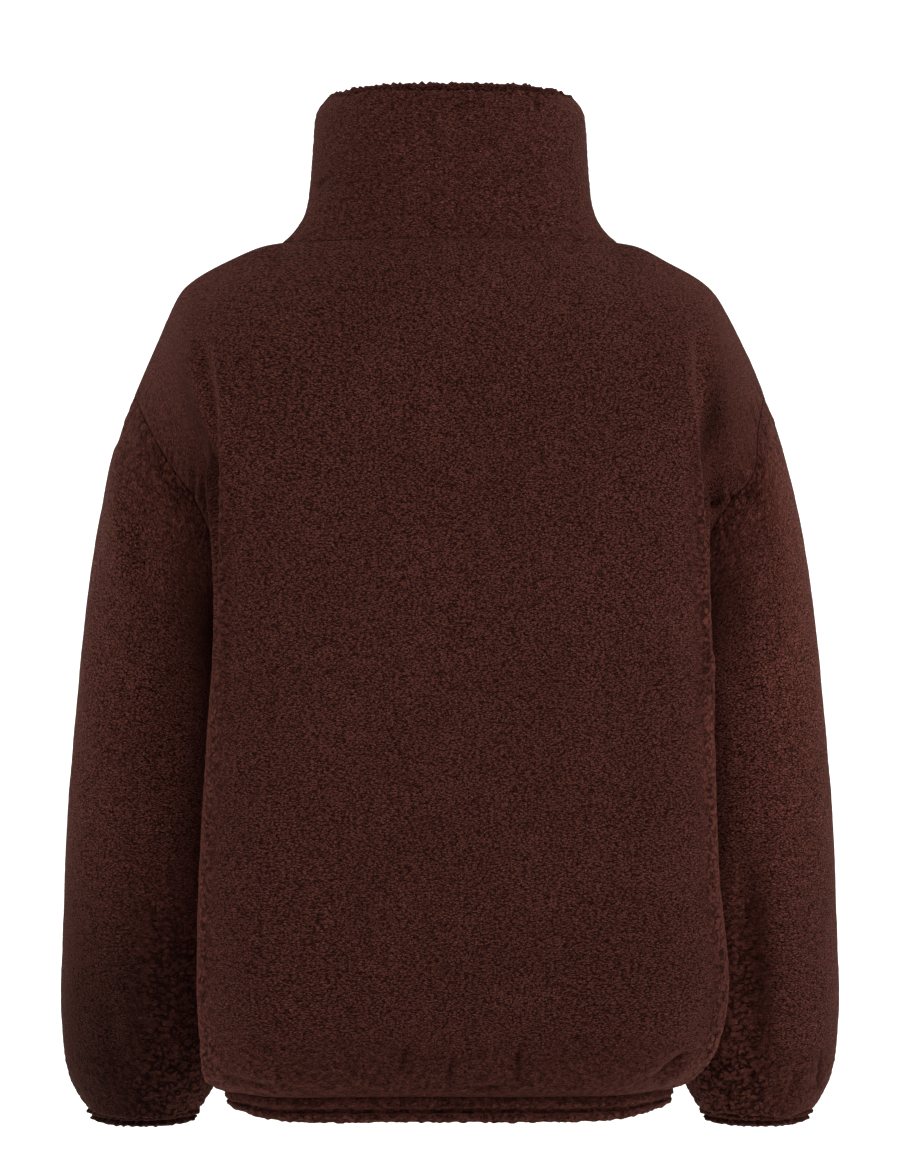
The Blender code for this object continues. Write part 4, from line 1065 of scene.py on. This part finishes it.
def cloth_shell(name, outer, normals, wall, wrap, layers):
    """Closed shell of cloth: a fine outside, a coarser inside and mitred edges."""
    rows, columns = outer.shape[:2]
    inner = (outer - normals * wall)[::FOURS, ::FOURS].copy()
    small_rows, small_columns = inner.shape[:2]
    edges = [(np.zeros(small_columns, int), np.arange(small_columns))]
    edges.append((np.full(small_columns, small_rows - 1), np.arange(small_columns)))
    if not wrap:
        edges.append((np.arange(small_rows), np.zeros(small_rows, int)))
        edges.append((np.arange(small_rows), np.full(small_rows, small_columns - 1)))
    for i, j in edges:
        inner[i, j] = seam_inward(outer[i * FOURS, j * FOURS], normals[i * FOURS, j * FOURS], wall)
    fine_size = rows * columns
    fine = np.arange(fine_size).reshape(rows, columns)
    small = fine_size + np.arange(small_rows * small_columns).reshape(small_rows, small_columns)
    faces = grid_quads(rows, columns, wrap, 0, False)
    faces += grid_quads(small_rows, small_columns, wrap, fine_size, True)
    if wrap:
        fine = np.concatenate([fine, fine[:, :1]], axis=1)
        small = np.concatenate([small, small[:, :1]], axis=1)
    faces += rim_faces(fine[0].tolist(), small[0].tolist(), True)
    faces += rim_faces(fine[-1].tolist(), small[-1].tolist(), False)
    if not wrap:
        faces += rim_faces(fine[:, 0].tolist(), small[:, 0].tolist(), False)
        faces += rim_faces(fine[:, -1].tolist(), small[:, -1].tolist(), True)
    points = np.concatenate([outer.reshape(-1, 3), inner.reshape(-1, 3)])
    if volume_of(points, faces) < 0.0:
        faces = [face[::-1] for face in faces]
    full = {}
    for key, (kind, values) in layers.items():
        small_values = values[::FOURS, ::FOURS]
        width = 3 if kind == "FLOAT_VECTOR" else 1
        full[key] = (kind, np.concatenate([values.reshape(-1, width), small_values.reshape(-1, width)]))
    return mesh_object(name, points, faces, full)


def band_shell(name, loop, layers):
    """Closed ring of folded cloth from rows that end beside where they start."""
    rows, columns = loop.shape[:2]
    faces = grid_quads(rows, columns, True, 0, False)
    for j in range(columns):
        k = (j + 1) % columns
        faces.append(((rows - 1) * columns + j, (rows - 1) * columns + k, k, j))
    points = loop.reshape(-1, 3)
    if volume_of(points, faces) < 0.0:
        faces = [face[::-1] for face in faces]
    return mesh_object(name, points, faces, layers)


def cloth_places(grid, wrap):
    """Place of each point on the flat cloth, in metres; round tubes keep a flat ring."""
    down = run_lengths(grid).mean(axis=1)
    middle_row = grid[grid.shape[0] // 2]
    if wrap:
        closed = np.concatenate([middle_row, middle_row[:1]])
        lengths = run_lengths(closed)
        radius = lengths[-1] / (2.0 * math.pi)
        angle = lengths[:-1] / radius
        flat = np.stack([radius * np.cos(angle), radius * np.sin(angle)], axis=1)
        places = np.zeros(grid.shape)
        places[..., 0] = flat[None, :, 0]
        places[..., 1] = flat[None, :, 1]
        places[..., 2] = down[:, None]
        return places
    lengths = run_lengths(middle_row)
    places = np.zeros(grid.shape)
    places[..., 0] = (lengths - lengths[-1] / 2.0)[None, :]
    places[..., 2] = down[:, None]
    return places


def edge_reach(grid, which):
    """Length from one edge of a grid to each of its points, and length along that edge."""
    if which in ("first", "last"):
        rows = grid if which == "first" else grid[::-1]
        off = run_lengths(rows)
        run = run_lengths(rows[0])
        run = np.broadcast_to(run[None, :], off.shape)
        return (off, run) if which == "first" else (off[::-1], run)
    turned = np.swapaxes(grid, 0, 1)
    off, run = edge_reach(turned, "first" if which == "left" else "last")
    return np.swapaxes(off, 0, 1), np.swapaxes(run, 0, 1)


def seam_layers(grid, edges):
    """Layers for the seams: nearest edge's distance, run along it and pucker strength, which also sets the
    painted seam shade.
    """
    best_off = np.full(grid.shape[:2], 1.0)
    best_run = np.zeros(grid.shape[:2])
    best_pucker = np.zeros(grid.shape[:2])
    for which, pucker, shift in edges:
        off, run = edge_reach(grid, which)
        nearer = off < best_off
        best_off = np.where(nearer, off, best_off)
        best_run = np.where(nearer, run + shift, best_run)
        best_pucker = np.where(nearer, pucker, best_pucker)
    return best_off, best_run, best_pucker


class NodeBench:
    """Small helper that adds and joins nodes in a tree."""

    def __init__(self, tree):
        self.tree = tree

    def add(self, kind, settings=None, **inputs):
        """Add a node, set its options and fill or join its inputs by name."""
        node = self.tree.nodes.new(kind)
        for key, value in (settings or {}).items():
            setattr(node, key, value)
        for key, value in inputs.items():
            self.fill(node.inputs[key.replace("_", " ")], value)
        return node

    def fill(self, socket, value):
        """Join an output to a socket, or set the socket's own value."""
        if isinstance(value, bpy.types.NodeSocket):
            self.tree.links.new(value, socket)
        else:
            socket.default_value = value

    def math(self, operation, first, second=0.5):
        """Result of one arithmetic node."""
        node = self.tree.nodes.new("ShaderNodeMath")
        node.operation = operation
        self.fill(node.inputs[0], first)
        self.fill(node.inputs[1], second)
        return node.outputs[0]

    def plus(self, *values):
        """Sum of numbers."""
        return functools.reduce(lambda total, value: self.math("ADD", total, value), values)

    def minus(self, first, second):
        """First number less the second."""
        return self.math("SUBTRACT", first, second)

    def times(self, *values):
        """Product of numbers."""
        return functools.reduce(lambda total, value: self.math("MULTIPLY", total, value), values)

    def vector(self, operation, first, second):
        """Result of one vector node."""
        node = self.tree.nodes.new("ShaderNodeVectorMath")
        node.operation = operation
        self.fill(node.inputs[0], first)
        self.fill(node.inputs[1], second)
        return node.outputs[0]

    def scaled(self, vector, share):
        """A vector times a number."""
        node = self.tree.nodes.new("ShaderNodeVectorMath")
        node.operation = "SCALE"
        self.fill(node.inputs[0], vector)
        self.fill(node.inputs["Scale"], share)
        return node.outputs[0]

    def remap(self, value, low, high, new_low=0.0, new_high=1.0, smooth=True):
        """A value moved from one range to another and kept inside it."""
        node = self.tree.nodes.new("ShaderNodeMapRange")
        node.interpolation_type = "SMOOTHSTEP" if smooth else "LINEAR"
        self.fill(node.inputs["Value"], value)
        self.fill(node.inputs["From Min"], low)
        self.fill(node.inputs["From Max"], high)
        self.fill(node.inputs["To Min"], new_low)
        self.fill(node.inputs["To Max"], new_high)
        return node.outputs["Result"]


def noise(bench, vector, scale, detail=2.0):
    """Soft noise with its value first and its colour second."""
    node = bench.add("ShaderNodeTexNoise", {"noise_dimensions": "3D"}, Vector=vector)
    node.inputs["Scale"].default_value = scale
    node.inputs["Detail"].default_value = detail
    return node.outputs[0], node.outputs[1]


def warped(bench, vector, scale, amount):
    """A place moved about by soft noise."""
    colour = noise(bench, vector, scale)[1]
    shift = bench.vector("SUBTRACT", colour, (0.5, 0.5, 0.5))
    return bench.vector("ADD", vector, bench.scaled(shift, amount))


def curls(bench, vector, scale, smoothness):
    """Rounded cells of curly pile: 1 on top of a curl, 0 in the gap between curls."""
    node = bench.add("ShaderNodeTexVoronoi", {"feature": "SMOOTH_F1", "distance": "EUCLIDEAN"}, Vector=vector)
    node.inputs["Scale"].default_value = scale
    node.inputs["Smoothness"].default_value = smoothness
    node.inputs["Randomness"].default_value = 1.0
    return bench.remap(node.outputs["Distance"], 0.12, 0.75, 1.0, 0.0)


def pile_tree():
    """Geometry nodes that raise the curly pile and pucker the cloth beside its seams."""
    tree = bpy.data.node_groups.new("curly_pile", "GeometryNodeTree")
    face = tree.interface
    face.new_socket(name="Cloth", in_out="INPUT", socket_type="NodeSocketGeometry")
    for name in ("Pile height", "Pucker height", "Pucker reach", "Tuft height"):
        face.new_socket(name=name, in_out="INPUT", socket_type="NodeSocketFloat")
    face.new_socket(name="Fleece", in_out="INPUT", socket_type="NodeSocketMaterial")
    face.new_socket(name="Cloth", in_out="OUTPUT", socket_type="NodeSocketGeometry")
    bench = NodeBench(tree)
    start = bench.add("NodeGroupInput")
    given = start.outputs
    place = named_layer(bench, "cloth", "FLOAT_VECTOR")
    off, run, pucker, gather = [
        named_layer(bench, name, "FLOAT") for name in ("seam_off", "seam_run", "pucker", "gather")]

    clumps = curls(bench, warped(bench, place, 70.0, 0.005), 190.0, 0.35)
    swells = noise(bench, place, 38.0)[0]
    uneven = bench.plus(bench.times(gather, 1.8), 0.15)
    rise = bench.times(bench.minus(clumps, 0.5), uneven)
    rise = bench.plus(rise, bench.times(bench.minus(swells, 0.5), 1.2))
    rise = bench.times(rise, given["Pile height"], bench.remap(off, 0.0, 0.006))

    along = bench.add("ShaderNodeCombineXYZ", None, X=run, Y=bench.times(off, 0.30))
    pulls = bench.minus(noise(bench, along.outputs[0], 160.0, 1.0)[0], 0.5)
    reach = bench.math("DIVIDE", off, given["Pucker reach"])
    reach = bench.math("EXPONENT", bench.times(reach, -1.0))
    reach = bench.times(reach, bench.remap(off, 0.0005, 0.004))
    pulls = bench.times(pulls, reach, given["Pucker height"], pucker)

    tufts = curls(bench, warped(bench, place, 200.0, 0.002), 230.0, 0.15)
    tufts = bench.times(bench.minus(tufts, 0.45), named_layer(bench, "tuft", "FLOAT"), given["Tuft height"])

    total = bench.plus(rise, pulls, tufts)
    shift = bench.scaled(bench.add("GeometryNodeInputNormal").outputs[0], total)
    moved = bench.add("GeometryNodeSetPosition", None, Geometry=given["Cloth"], Offset=shift)
    real = bench.add("GeometryNodeRealizeInstances", None, Geometry=moved.outputs[0])
    dressed = bench.add("GeometryNodeSetMaterial", None, Geometry=real.outputs[0])
    bench.fill(dressed.inputs["Material"], given["Fleece"])
    end = bench.add("NodeGroupOutput")
    bench.fill(end.inputs["Cloth"], dressed.outputs[0])
    return tree


def named_layer(bench, name, kind):
    """A named layer of the cloth read in a geometry tree."""
    node = bench.add("GeometryNodeInputNamedAttribute", {"data_type": kind})
    node.inputs["Name"].default_value = name
    return node.outputs[0]


def apply_tree(thing, tree, settings):
    """Run a geometry tree on an object and keep its result as the object's own mesh."""
    modifier = thing.modifiers.new(tree.name, "NODES")
    modifier.node_group = tree
    sockets = {item.name: item.identifier for item in tree.interface.items_tree
               if item.item_type == "SOCKET" and item.in_out == "INPUT"}
    for key, value in settings.items():
        modifier[sockets[key]] = value
    bpy.context.view_layer.update()
    graph = bpy.context.evaluated_depsgraph_get()
    made = bpy.data.meshes.new_from_object(thing.evaluated_get(graph), depsgraph=graph)
    thing.modifiers.remove(modifier)
    old = thing.data
    thing.data = made
    name = old.name
    bpy.data.meshes.remove(old)
    made.name = name


def fleece_material():
    """Dark brown curly pile: rounded curls with dark gaps in wavy courses."""
    material = bpy.data.materials.new("curly_fleece")
    material.use_nodes = True
    tree = material.node_tree
    bench = NodeBench(tree)
    shader = tree.nodes["Principled BSDF"]
    shader.inputs["Roughness"].default_value = 0.95
    shader.inputs["Specular IOR Level"].default_value = 0.04
    shader.inputs["Sheen Weight"].default_value = 0.11
    shader.inputs["Sheen Roughness"].default_value = 0.35
    shader.inputs["Sheen Tint"].default_value = SHEEN_RED

    place = layer_fac(bench, "cloth", "Vector")
    names = ("gather", "painted_crease_shade", "seam_off", "seam_run", "pucker", "painted_light")
    gather, painted_crease_shade, off, run, pucker, painted_light = [layer_fac(bench, name, "Fac") for name in names]
    fine = crack_lines(bench, place, 510.0, 0.0008, (0.64, 0.64, 1.36), 0.24)
    coarse = crack_lines(bench, place, 205.0, 0.0020, (0.90, 0.90, 1.12), 0.34)
    curl = mixed(bench, gather, fine, coarse)
    fuzz = noise(bench, bench.vector("MULTIPLY", place, (0.8, 0.8, 1.25)), 1050.0, 2.0)[0]
    fuzz = bench.remap(fuzz, 0.25, 0.75, 0.0, 1.0, smooth=False)
    tone = noise(bench, place, 14.0, 3.0)[0]

    height = bench.plus(bench.times(curl, 0.52), bench.times(fuzz, 0.48))
    # Painted shade along the seams and across the combed puckers beside them; it lowers the height, so it
    # darkens the colour and also dips the bump
    along = bench.add("ShaderNodeCombineXYZ", None, X=run)
    stitch = bench.remap(noise(bench, along.outputs[0], 260.0, 0.0)[0], 0.40, 0.58, 0.45, 1.0)
    seam_painted_shade = bench.times(bench.remap(off, 0.0004, 0.0018, 1.0, 0.0), pucker, stitch)
    beside = bench.add("ShaderNodeCombineXYZ", None, X=run, Y=bench.times(off, 0.18))
    comb = bench.remap(noise(bench, beside.outputs[0], 210.0, 1.0)[0], 0.38, 0.50, 1.0, 0.0)
    comb = bench.times(comb, bench.remap(off, 0.004, 0.026, 1.0, 0.0), pucker)
    seam_painted_shade = bench.math("MAXIMUM", seam_painted_shade, bench.times(comb, 0.6))
    height = bench.times(height, bench.minus(1.0, bench.times(seam_painted_shade, SEAM_PAINTED_SHADE)))
    # Painted shade along the sharp creases and the hem band's stitched groove
    height = bench.times(height, bench.minus(1.0, bench.times(painted_crease_shade, CREASE_PAINTED_SHADE)))

    ramp = bench.add("ShaderNodeValToRGB", None, Fac=height)
    ramp.color_ramp.elements[0].position = 0.20
    ramp.color_ramp.elements[0].color = GAP_BROWN
    ramp.color_ramp.elements[1].position = 1.0
    ramp.color_ramp.elements[1].color = TIP_BROWN
    body = ramp.color_ramp.elements.new(0.72)
    body.color = CURL_BROWN
    # The colour is scaled by random tone and by the painted light and shade layer
    shade = bench.times(bench.remap(tone, 0.3, 0.7, 0.93, 1.07), painted_light)
    bench.fill(shader.inputs["Base Color"], bench.scaled(ramp.outputs[0], shade))

    bump = bench.add("ShaderNodeBump")
    bump.inputs["Strength"].default_value = 1.0
    bump.inputs["Distance"].default_value = 0.0012
    bench.fill(bump.inputs["Height"], height)
    bench.fill(shader.inputs["Normal"], bump.outputs[0])
    return material


def crack_lines(bench, place, scale, wander, stretch, width):
    """Curly pile seen from above: 1 on the curls, 0 in the short wandering gaps between them."""
    moved = warped(bench, warped(bench, place, 70.0, 0.004), 420.0, wander)
    wide = bench.vector("MULTIPLY", moved, stretch)
    cells = bench.add("ShaderNodeTexVoronoi", {"feature": "DISTANCE_TO_EDGE"}, Vector=wide)
    cells.inputs["Scale"].default_value = scale
    cells.inputs["Randomness"].default_value = 1.0
    open_share = bench.remap(noise(bench, wide, scale * 1.1, 0.0)[0], 0.32, 0.56, 0.15, 1.0)
    gap = bench.remap(cells.outputs["Distance"], 0.03, width, 1.0, 0.0)
    return bench.minus(1.0, bench.times(gap, open_share))


def layer_fac(bench, name, output):
    """A named layer of the cloth read in a material."""
    node = bench.add("ShaderNodeAttribute")
    node.attribute_name = name
    return node.outputs[output]


def mixed(bench, share, first, second):
    """Blend of two numbers."""
    node = bench.add("ShaderNodeMix", {"data_type": "FLOAT"})
    bench.fill(node.inputs[0], share)
    bench.fill(node.inputs[2], first)
    bench.fill(node.inputs[3], second)
    return node.outputs[0]


def plain_material(name, colour, roughness):
    """Matt pale material for the floor and backdrop, a little lit from within."""
    material = bpy.data.materials.new(name)
    material.use_nodes = True
    shader = material.node_tree.nodes["Principled BSDF"]
    shader.inputs["Base Color"].default_value = colour
    shader.inputs["Roughness"].default_value = roughness
    shader.inputs["Emission Color"].default_value = colour
    shader.inputs["Emission Strength"].default_value = FLOOR_GLOW
    return material


def build_stage():
    """Pale floor that curves up into a pale backdrop."""
    profile = [(-9.0, 0.0), (1.6, 0.0)]
    for step in range(1, 13):
        angle = math.radians(90.0 * step / 12)
        profile.append((1.6 + math.sin(angle) * 1.2, 1.2 - math.cos(angle) * 1.2))
    profile.append((2.8, 6.0))
    points = []
    for x in (-8.0, 8.0):
        points += [(x, y, FLOOR_Z + z) for y, z in profile]
    count = len(profile)
    faces = [(i, i + 1, count + i + 1, count + i) for i in range(count - 1)]
    floor = mesh_object("floor", np.array(points), faces, {})
    floor.data.materials.append(plain_material("floor_white", FLOOR_WHITE, 0.9))


def aim_object(name, data, place, aim):
    """A lamp or camera at a place, turned to look at a point."""
    thing = bpy.data.objects.new(name, data)
    thing.location = place
    thing.rotation_euler = (Vector(aim) - Vector(place)).to_track_quat("-Z", "Y").to_euler()
    bpy.context.scene.collection.objects.link(thing)
    return thing


def build_light():
    """Studio light: soft boxes on both sides and above, and a bright surround."""
    for name, place, size, power in SOFT_BOXES:
        lamp = bpy.data.lights.new(name, "AREA")
        lamp.shape = "RECTANGLE"
        lamp.size = size[0]
        lamp.size_y = size[1]
        lamp.energy = power
        aim_object(name, lamp, place, LIGHT_AIM)
    world = bpy.data.worlds.new("studio")
    world.use_nodes = True
    back = world.node_tree.nodes["Background"]
    back.inputs["Color"].default_value = (1.0, 1.0, 1.0, 1.0)
    back.inputs["Strength"].default_value = SURROUND
    bpy.context.scene.world = world


def build_camera():
    """Camera straight behind the top, a little above its middle."""
    lens = bpy.data.cameras.new("camera")
    lens.lens = CAMERA_LENS
    lens.sensor_width = CAMERA_SENSOR
    lens.sensor_fit = "AUTO"
    bpy.context.scene.camera = aim_object("camera", lens, CAMERA_PLACE, CAMERA_AIM)
    bpy.context.scene.view_settings.view_transform = "Standard"


def make_layers(grid, wrap, edges, gather, painted_crease_shade, tuft=None):
    """All point layers of one piece of cloth."""
    off, run, pucker = seam_layers(grid, edges)
    return {
        "tuft": ("FLOAT", np.zeros(grid.shape[:2]) if tuft is None else tuft),
        "painted_light": ("FLOAT", painted_light_tone(grid)),
        "cloth": ("FLOAT_VECTOR", cloth_places(grid, wrap)),
        "seam_off": ("FLOAT", off),
        "seam_run": ("FLOAT", run),
        "pucker": ("FLOAT", pucker),
        "gather": ("FLOAT", np.clip(gather, 0.0, 1.0)),
        "painted_crease_shade": ("FLOAT", painted_crease_shade),
    }


def painted_light_tone(grid):
    """Painted light and shade on the pile: darker lower down and on the left arm as painted shade, lighter
    patches as painted light.
    """
    z = grid[..., 2]
    tone = PAINTED_LIGHT_TOP - PAINTED_SHADE_FALL * smooth_step((PAINTED_SHADE_FALL_Z - z) / PAINTED_SHADE_FALL_EASE)
    for side, inner, inner_ease, outer, outer_ease, top, top_ease, bottom, bottom_ease, change in PAINTED_LIGHT_PATCHES:
        x = grid[..., 0] * side
        patch = smooth_step((x - inner) / inner_ease) * smooth_step((outer - x) / outer_ease)
        patch *= smooth_step((top - z) / top_ease) * smooth_step((z - bottom) / bottom_ease)
        tone *= 1.0 + change * patch
    return np.minimum(tone, PAINTED_LIGHT_LIMIT)


def panel_gather(grid, shares):
    """Where a panel's pile stands coarser: along the fold's crest and above the hem."""
    inside = CREST_SHARE - np.abs(shares)[None, :]
    band = np.exp(-((inside - 0.045) / 0.035) ** 2) + 0.6 * np.exp(-((inside + 0.10) / 0.08) ** 2)
    below = smooth_step((-0.10 - grid[..., 2]) / 0.12)
    near_hem = smooth_step((-0.575 - grid[..., 2]) / 0.06)
    return band * below * 0.9 + near_hem * 0.55


def painted_crest_light(grid, shares):
    """Painted highlight along the fold's crest, and painted shade down in its valley."""
    size = np.abs(shares)[None, :]
    crest = CREST_PAINTED_HIGHLIGHT * np.exp(-((size - CREST_SHARE + 0.008) / 0.016) ** 2)
    valley = VALLEY_PAINTED_SHADE * np.exp(-((size - CREST_SHARE - 0.055) / 0.040) ** 2)
    return 1.0 + (crest - valley) * smooth_step((-0.07 - grid[..., 2]) / 0.08)


def sleeve_gather(grid, side):
    """Where a sleeve's pile stands coarser: below the armhole, in the low valley, near the cuff."""
    off = edge_reach(grid, "first")[0]
    top = 0.55 * np.exp(-(off / 0.05) ** 2)
    inner = smooth_step((0.255 - grid[..., 0] * side) / 0.03)
    low = smooth_step((-0.44 - grid[..., 2]) / 0.12) * inner * 0.8
    cuff = 0.4 * smooth_step((-0.60 - grid[..., 2]) / 0.04)
    return top + low + cuff


def build_panels():
    """Shares, outside and outward directions of the back and front panels."""
    sheets = {}
    for name, facing, cells in (("back_panel", BACK, BACK_CELLS), ("front_panel", FRONT, FRONT_CELLS)):
        shares, grid = panel_sheet(facing, cells)
        sheets[name] = (shares, grid, grid_normals(grid, False, facing == BACK))
    return sheets


def build_sleeves():
    """Outside and outward directions of the sleeves and cuffs."""
    sheets = {}
    for side, hand in HANDS:
        sleeve = hang_over(sleeve_sheet(side, SLEEVE_CELLS), side)
        ring = even_ring(sleeve[-1], CUFF_CELLS[0])
        cuff = gather_cuff(band_rows(ring, CUFF_HEIGHT, 1.0, CUFF_PUFF, 0.0))
        for name, grid in (("sleeve_", sleeve), ("cuff_", cuff)):
            sheets[name + hand] = (grid, grid_normals(grid, True, side > 0))
    return sheets


def build_bands():
    """Outside and outward directions of the collar and the hem band."""
    collar = collar_rows(neck_ring(COLLAR_CELLS[0]))
    hem_band = band_rows(hem_ring(HEM_CELLS[0]), HEM_BAND_HEIGHT, HEM_BAND_SIDE_SHARE, BAND_PUFF, BAND_GROOVE)
    return {"collar": (collar, grid_normals(collar, True, True)),
            "hem_band": (hem_band, grid_normals(hem_band, True, False))}


def note_seams(panels, sleeves, bands):
    """Remember every sewn edge, so that pieces that meet share one direction into the seam."""
    for shares, grid, facing in panels.values():
        note_seam(grid[0], facing[0])
        note_seam(grid[-1], facing[-1])
        note_seam(grid[:, 0], facing[:, 0])
        note_seam(grid[:, -1], facing[:, -1])
    for grid, facing in bands.values():
        note_seam(grid[0], facing[0])
    for name, (grid, facing) in sleeves.items():
        note_seam(grid[0], facing[0])
        if name.startswith("sleeve"):
            note_seam(grid[-1], facing[-1])


def dress_panel(name, facing, creases, shares, grid, normals):
    """The back or front panel as a closed shell, creased and sunk at its seams."""
    pressed, painted_crease_shade = press_creases(grid, normals, facing, creases, ("first", "last", "left", "right"))
    sunk = sink_seams(pressed, PANEL_SINKS)
    layers = make_layers(grid, False, PANEL_EDGES, panel_gather(grid, shares), painted_crease_shade)
    # Painted highlight on the crest and painted shade in the valley join the painted light layer
    layers["painted_light"] = ("FLOAT", np.minimum(layers["painted_light"][1] * painted_crest_light(grid, shares), PAINTED_LIGHT_LIMIT))
    return cloth_shell(name + "_cloth", sunk, normals, WALL, False, layers)


def dress_sleeve(side, name, grid, normals):
    """A sleeve as a closed shell, creased back and front and sunk at its seams."""
    back, front = SLEEVE_CREASES[side]
    pressed, painted_crease_shade = press_creases(grid, normals, BACK, back, ("first", "last"))
    pressed, front_painted_crease_shade = press_creases(pressed, normals, FRONT, front, ("first", "last"))
    sunk = sink_seams(pressed, SLEEVE_SINKS)
    layers = make_layers(grid, True, SLEEVE_EDGES, sleeve_gather(grid, side), np.maximum(painted_crease_shade, front_painted_crease_shade))
    return cloth_shell(name + "_cloth", sunk, normals, WALL, True, layers)


def dress_band(name, grid, facing):
    """The collar, hem band or a cuff as a closed ring of folded cloth."""
    wall, seam_wall, inner_rows, edge_step, count, sink, coarse, tufted, pucker = BANDS[name.split("_")[0]]
    loop = rolled_loop(grid, facing, wall, seam_wall, inner_rows, edge_step, count)
    normals = grid_normals(loop, True, name in ("collar", "cuff_right"))
    painted_crease_shade = np.zeros(loop.shape[:2])
    gather = np.full(loop.shape[:2], coarse)
    if name == "collar":
        loop, painted_crease_shade = press_creases(loop, normals, BACK, COLLAR_CREASES, ("first",))
    if name == "hem_band":
        loop, painted_crease_shade = stitch_groove(loop, normals)
    loop = sink_seams(loop, (("first", sink),))
    down = run_lengths(loop).mean(axis=1)
    fold = run_lengths(grid).mean(axis=1)[-1] + edge_step
    tuft = np.exp(-((down - fold) / TUFT_REACH) ** 2)[:, None] * np.full(loop.shape[1], tufted)
    edges = (("first", pucker, 0.0), ("last", 0.0, 1.0))
    return band_shell(name + "_cloth", loop, make_layers(loop, True, edges, gather, painted_crease_shade, tuft))


def build_cloth():
    """Every piece of the top, as fine closed cloth."""
    panels = build_panels()
    sleeves = build_sleeves()
    bands = build_bands()
    note_seams(panels, sleeves, bands)
    pieces = {}
    for name, facing, creases in (("back_panel", BACK, BACK_CREASES), ("front_panel", FRONT, FRONT_CREASES)):
        pieces[name] = dress_panel(name, facing, creases, *panels[name])
    for side, hand in HANDS:
        name = "sleeve_" + hand
        pieces[name] = dress_sleeve(side, name, *sleeves[name])
    for name, sheet in bands.items():
        pieces[name] = dress_band(name, *sheet)
    for side, hand in HANDS:
        name = "cuff_" + hand
        pieces[name] = dress_band(name, *sleeves[name])
    return pieces


def stitch_groove(loop, normals):
    """The hem band pressed in along its line of stitching, and the same mask as a layer of painted shade
    along it.
    """
    down = run_lengths(loop).mean(axis=1)
    place = HEM_GROOVE_SHARE * HEM_BAND_HEIGHT
    press = np.exp(-((down - place) / HEM_GROOVE_REACH) ** 2)[:, None]
    waver = 0.8 + 0.2 * np.sin(np.arange(loop.shape[1]) * 0.37)[None, :]
    painted_crease_shade = press * waver
    return loop - normals * (painted_crease_shade * HEM_GROOVE_DEPTH)[..., None], painted_crease_shade


def declare_cloth(pieces):
    """Hang each piece from the root body and hide the solid it replaces."""
    for name, piece in pieces.items():
        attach(piece, "root")
        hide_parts(name)


def main():
    """Build the top, its material, the stage, the light and the camera."""
    build_camera()
    pieces = build_cloth()
    fleece = fleece_material()
    tree = pile_tree()
    for piece in pieces.values():
        apply_tree(piece, tree, {**PILE_SETTINGS, "Fleece": fleece})
    declare_cloth(pieces)
    build_stage()
    build_light()


main()
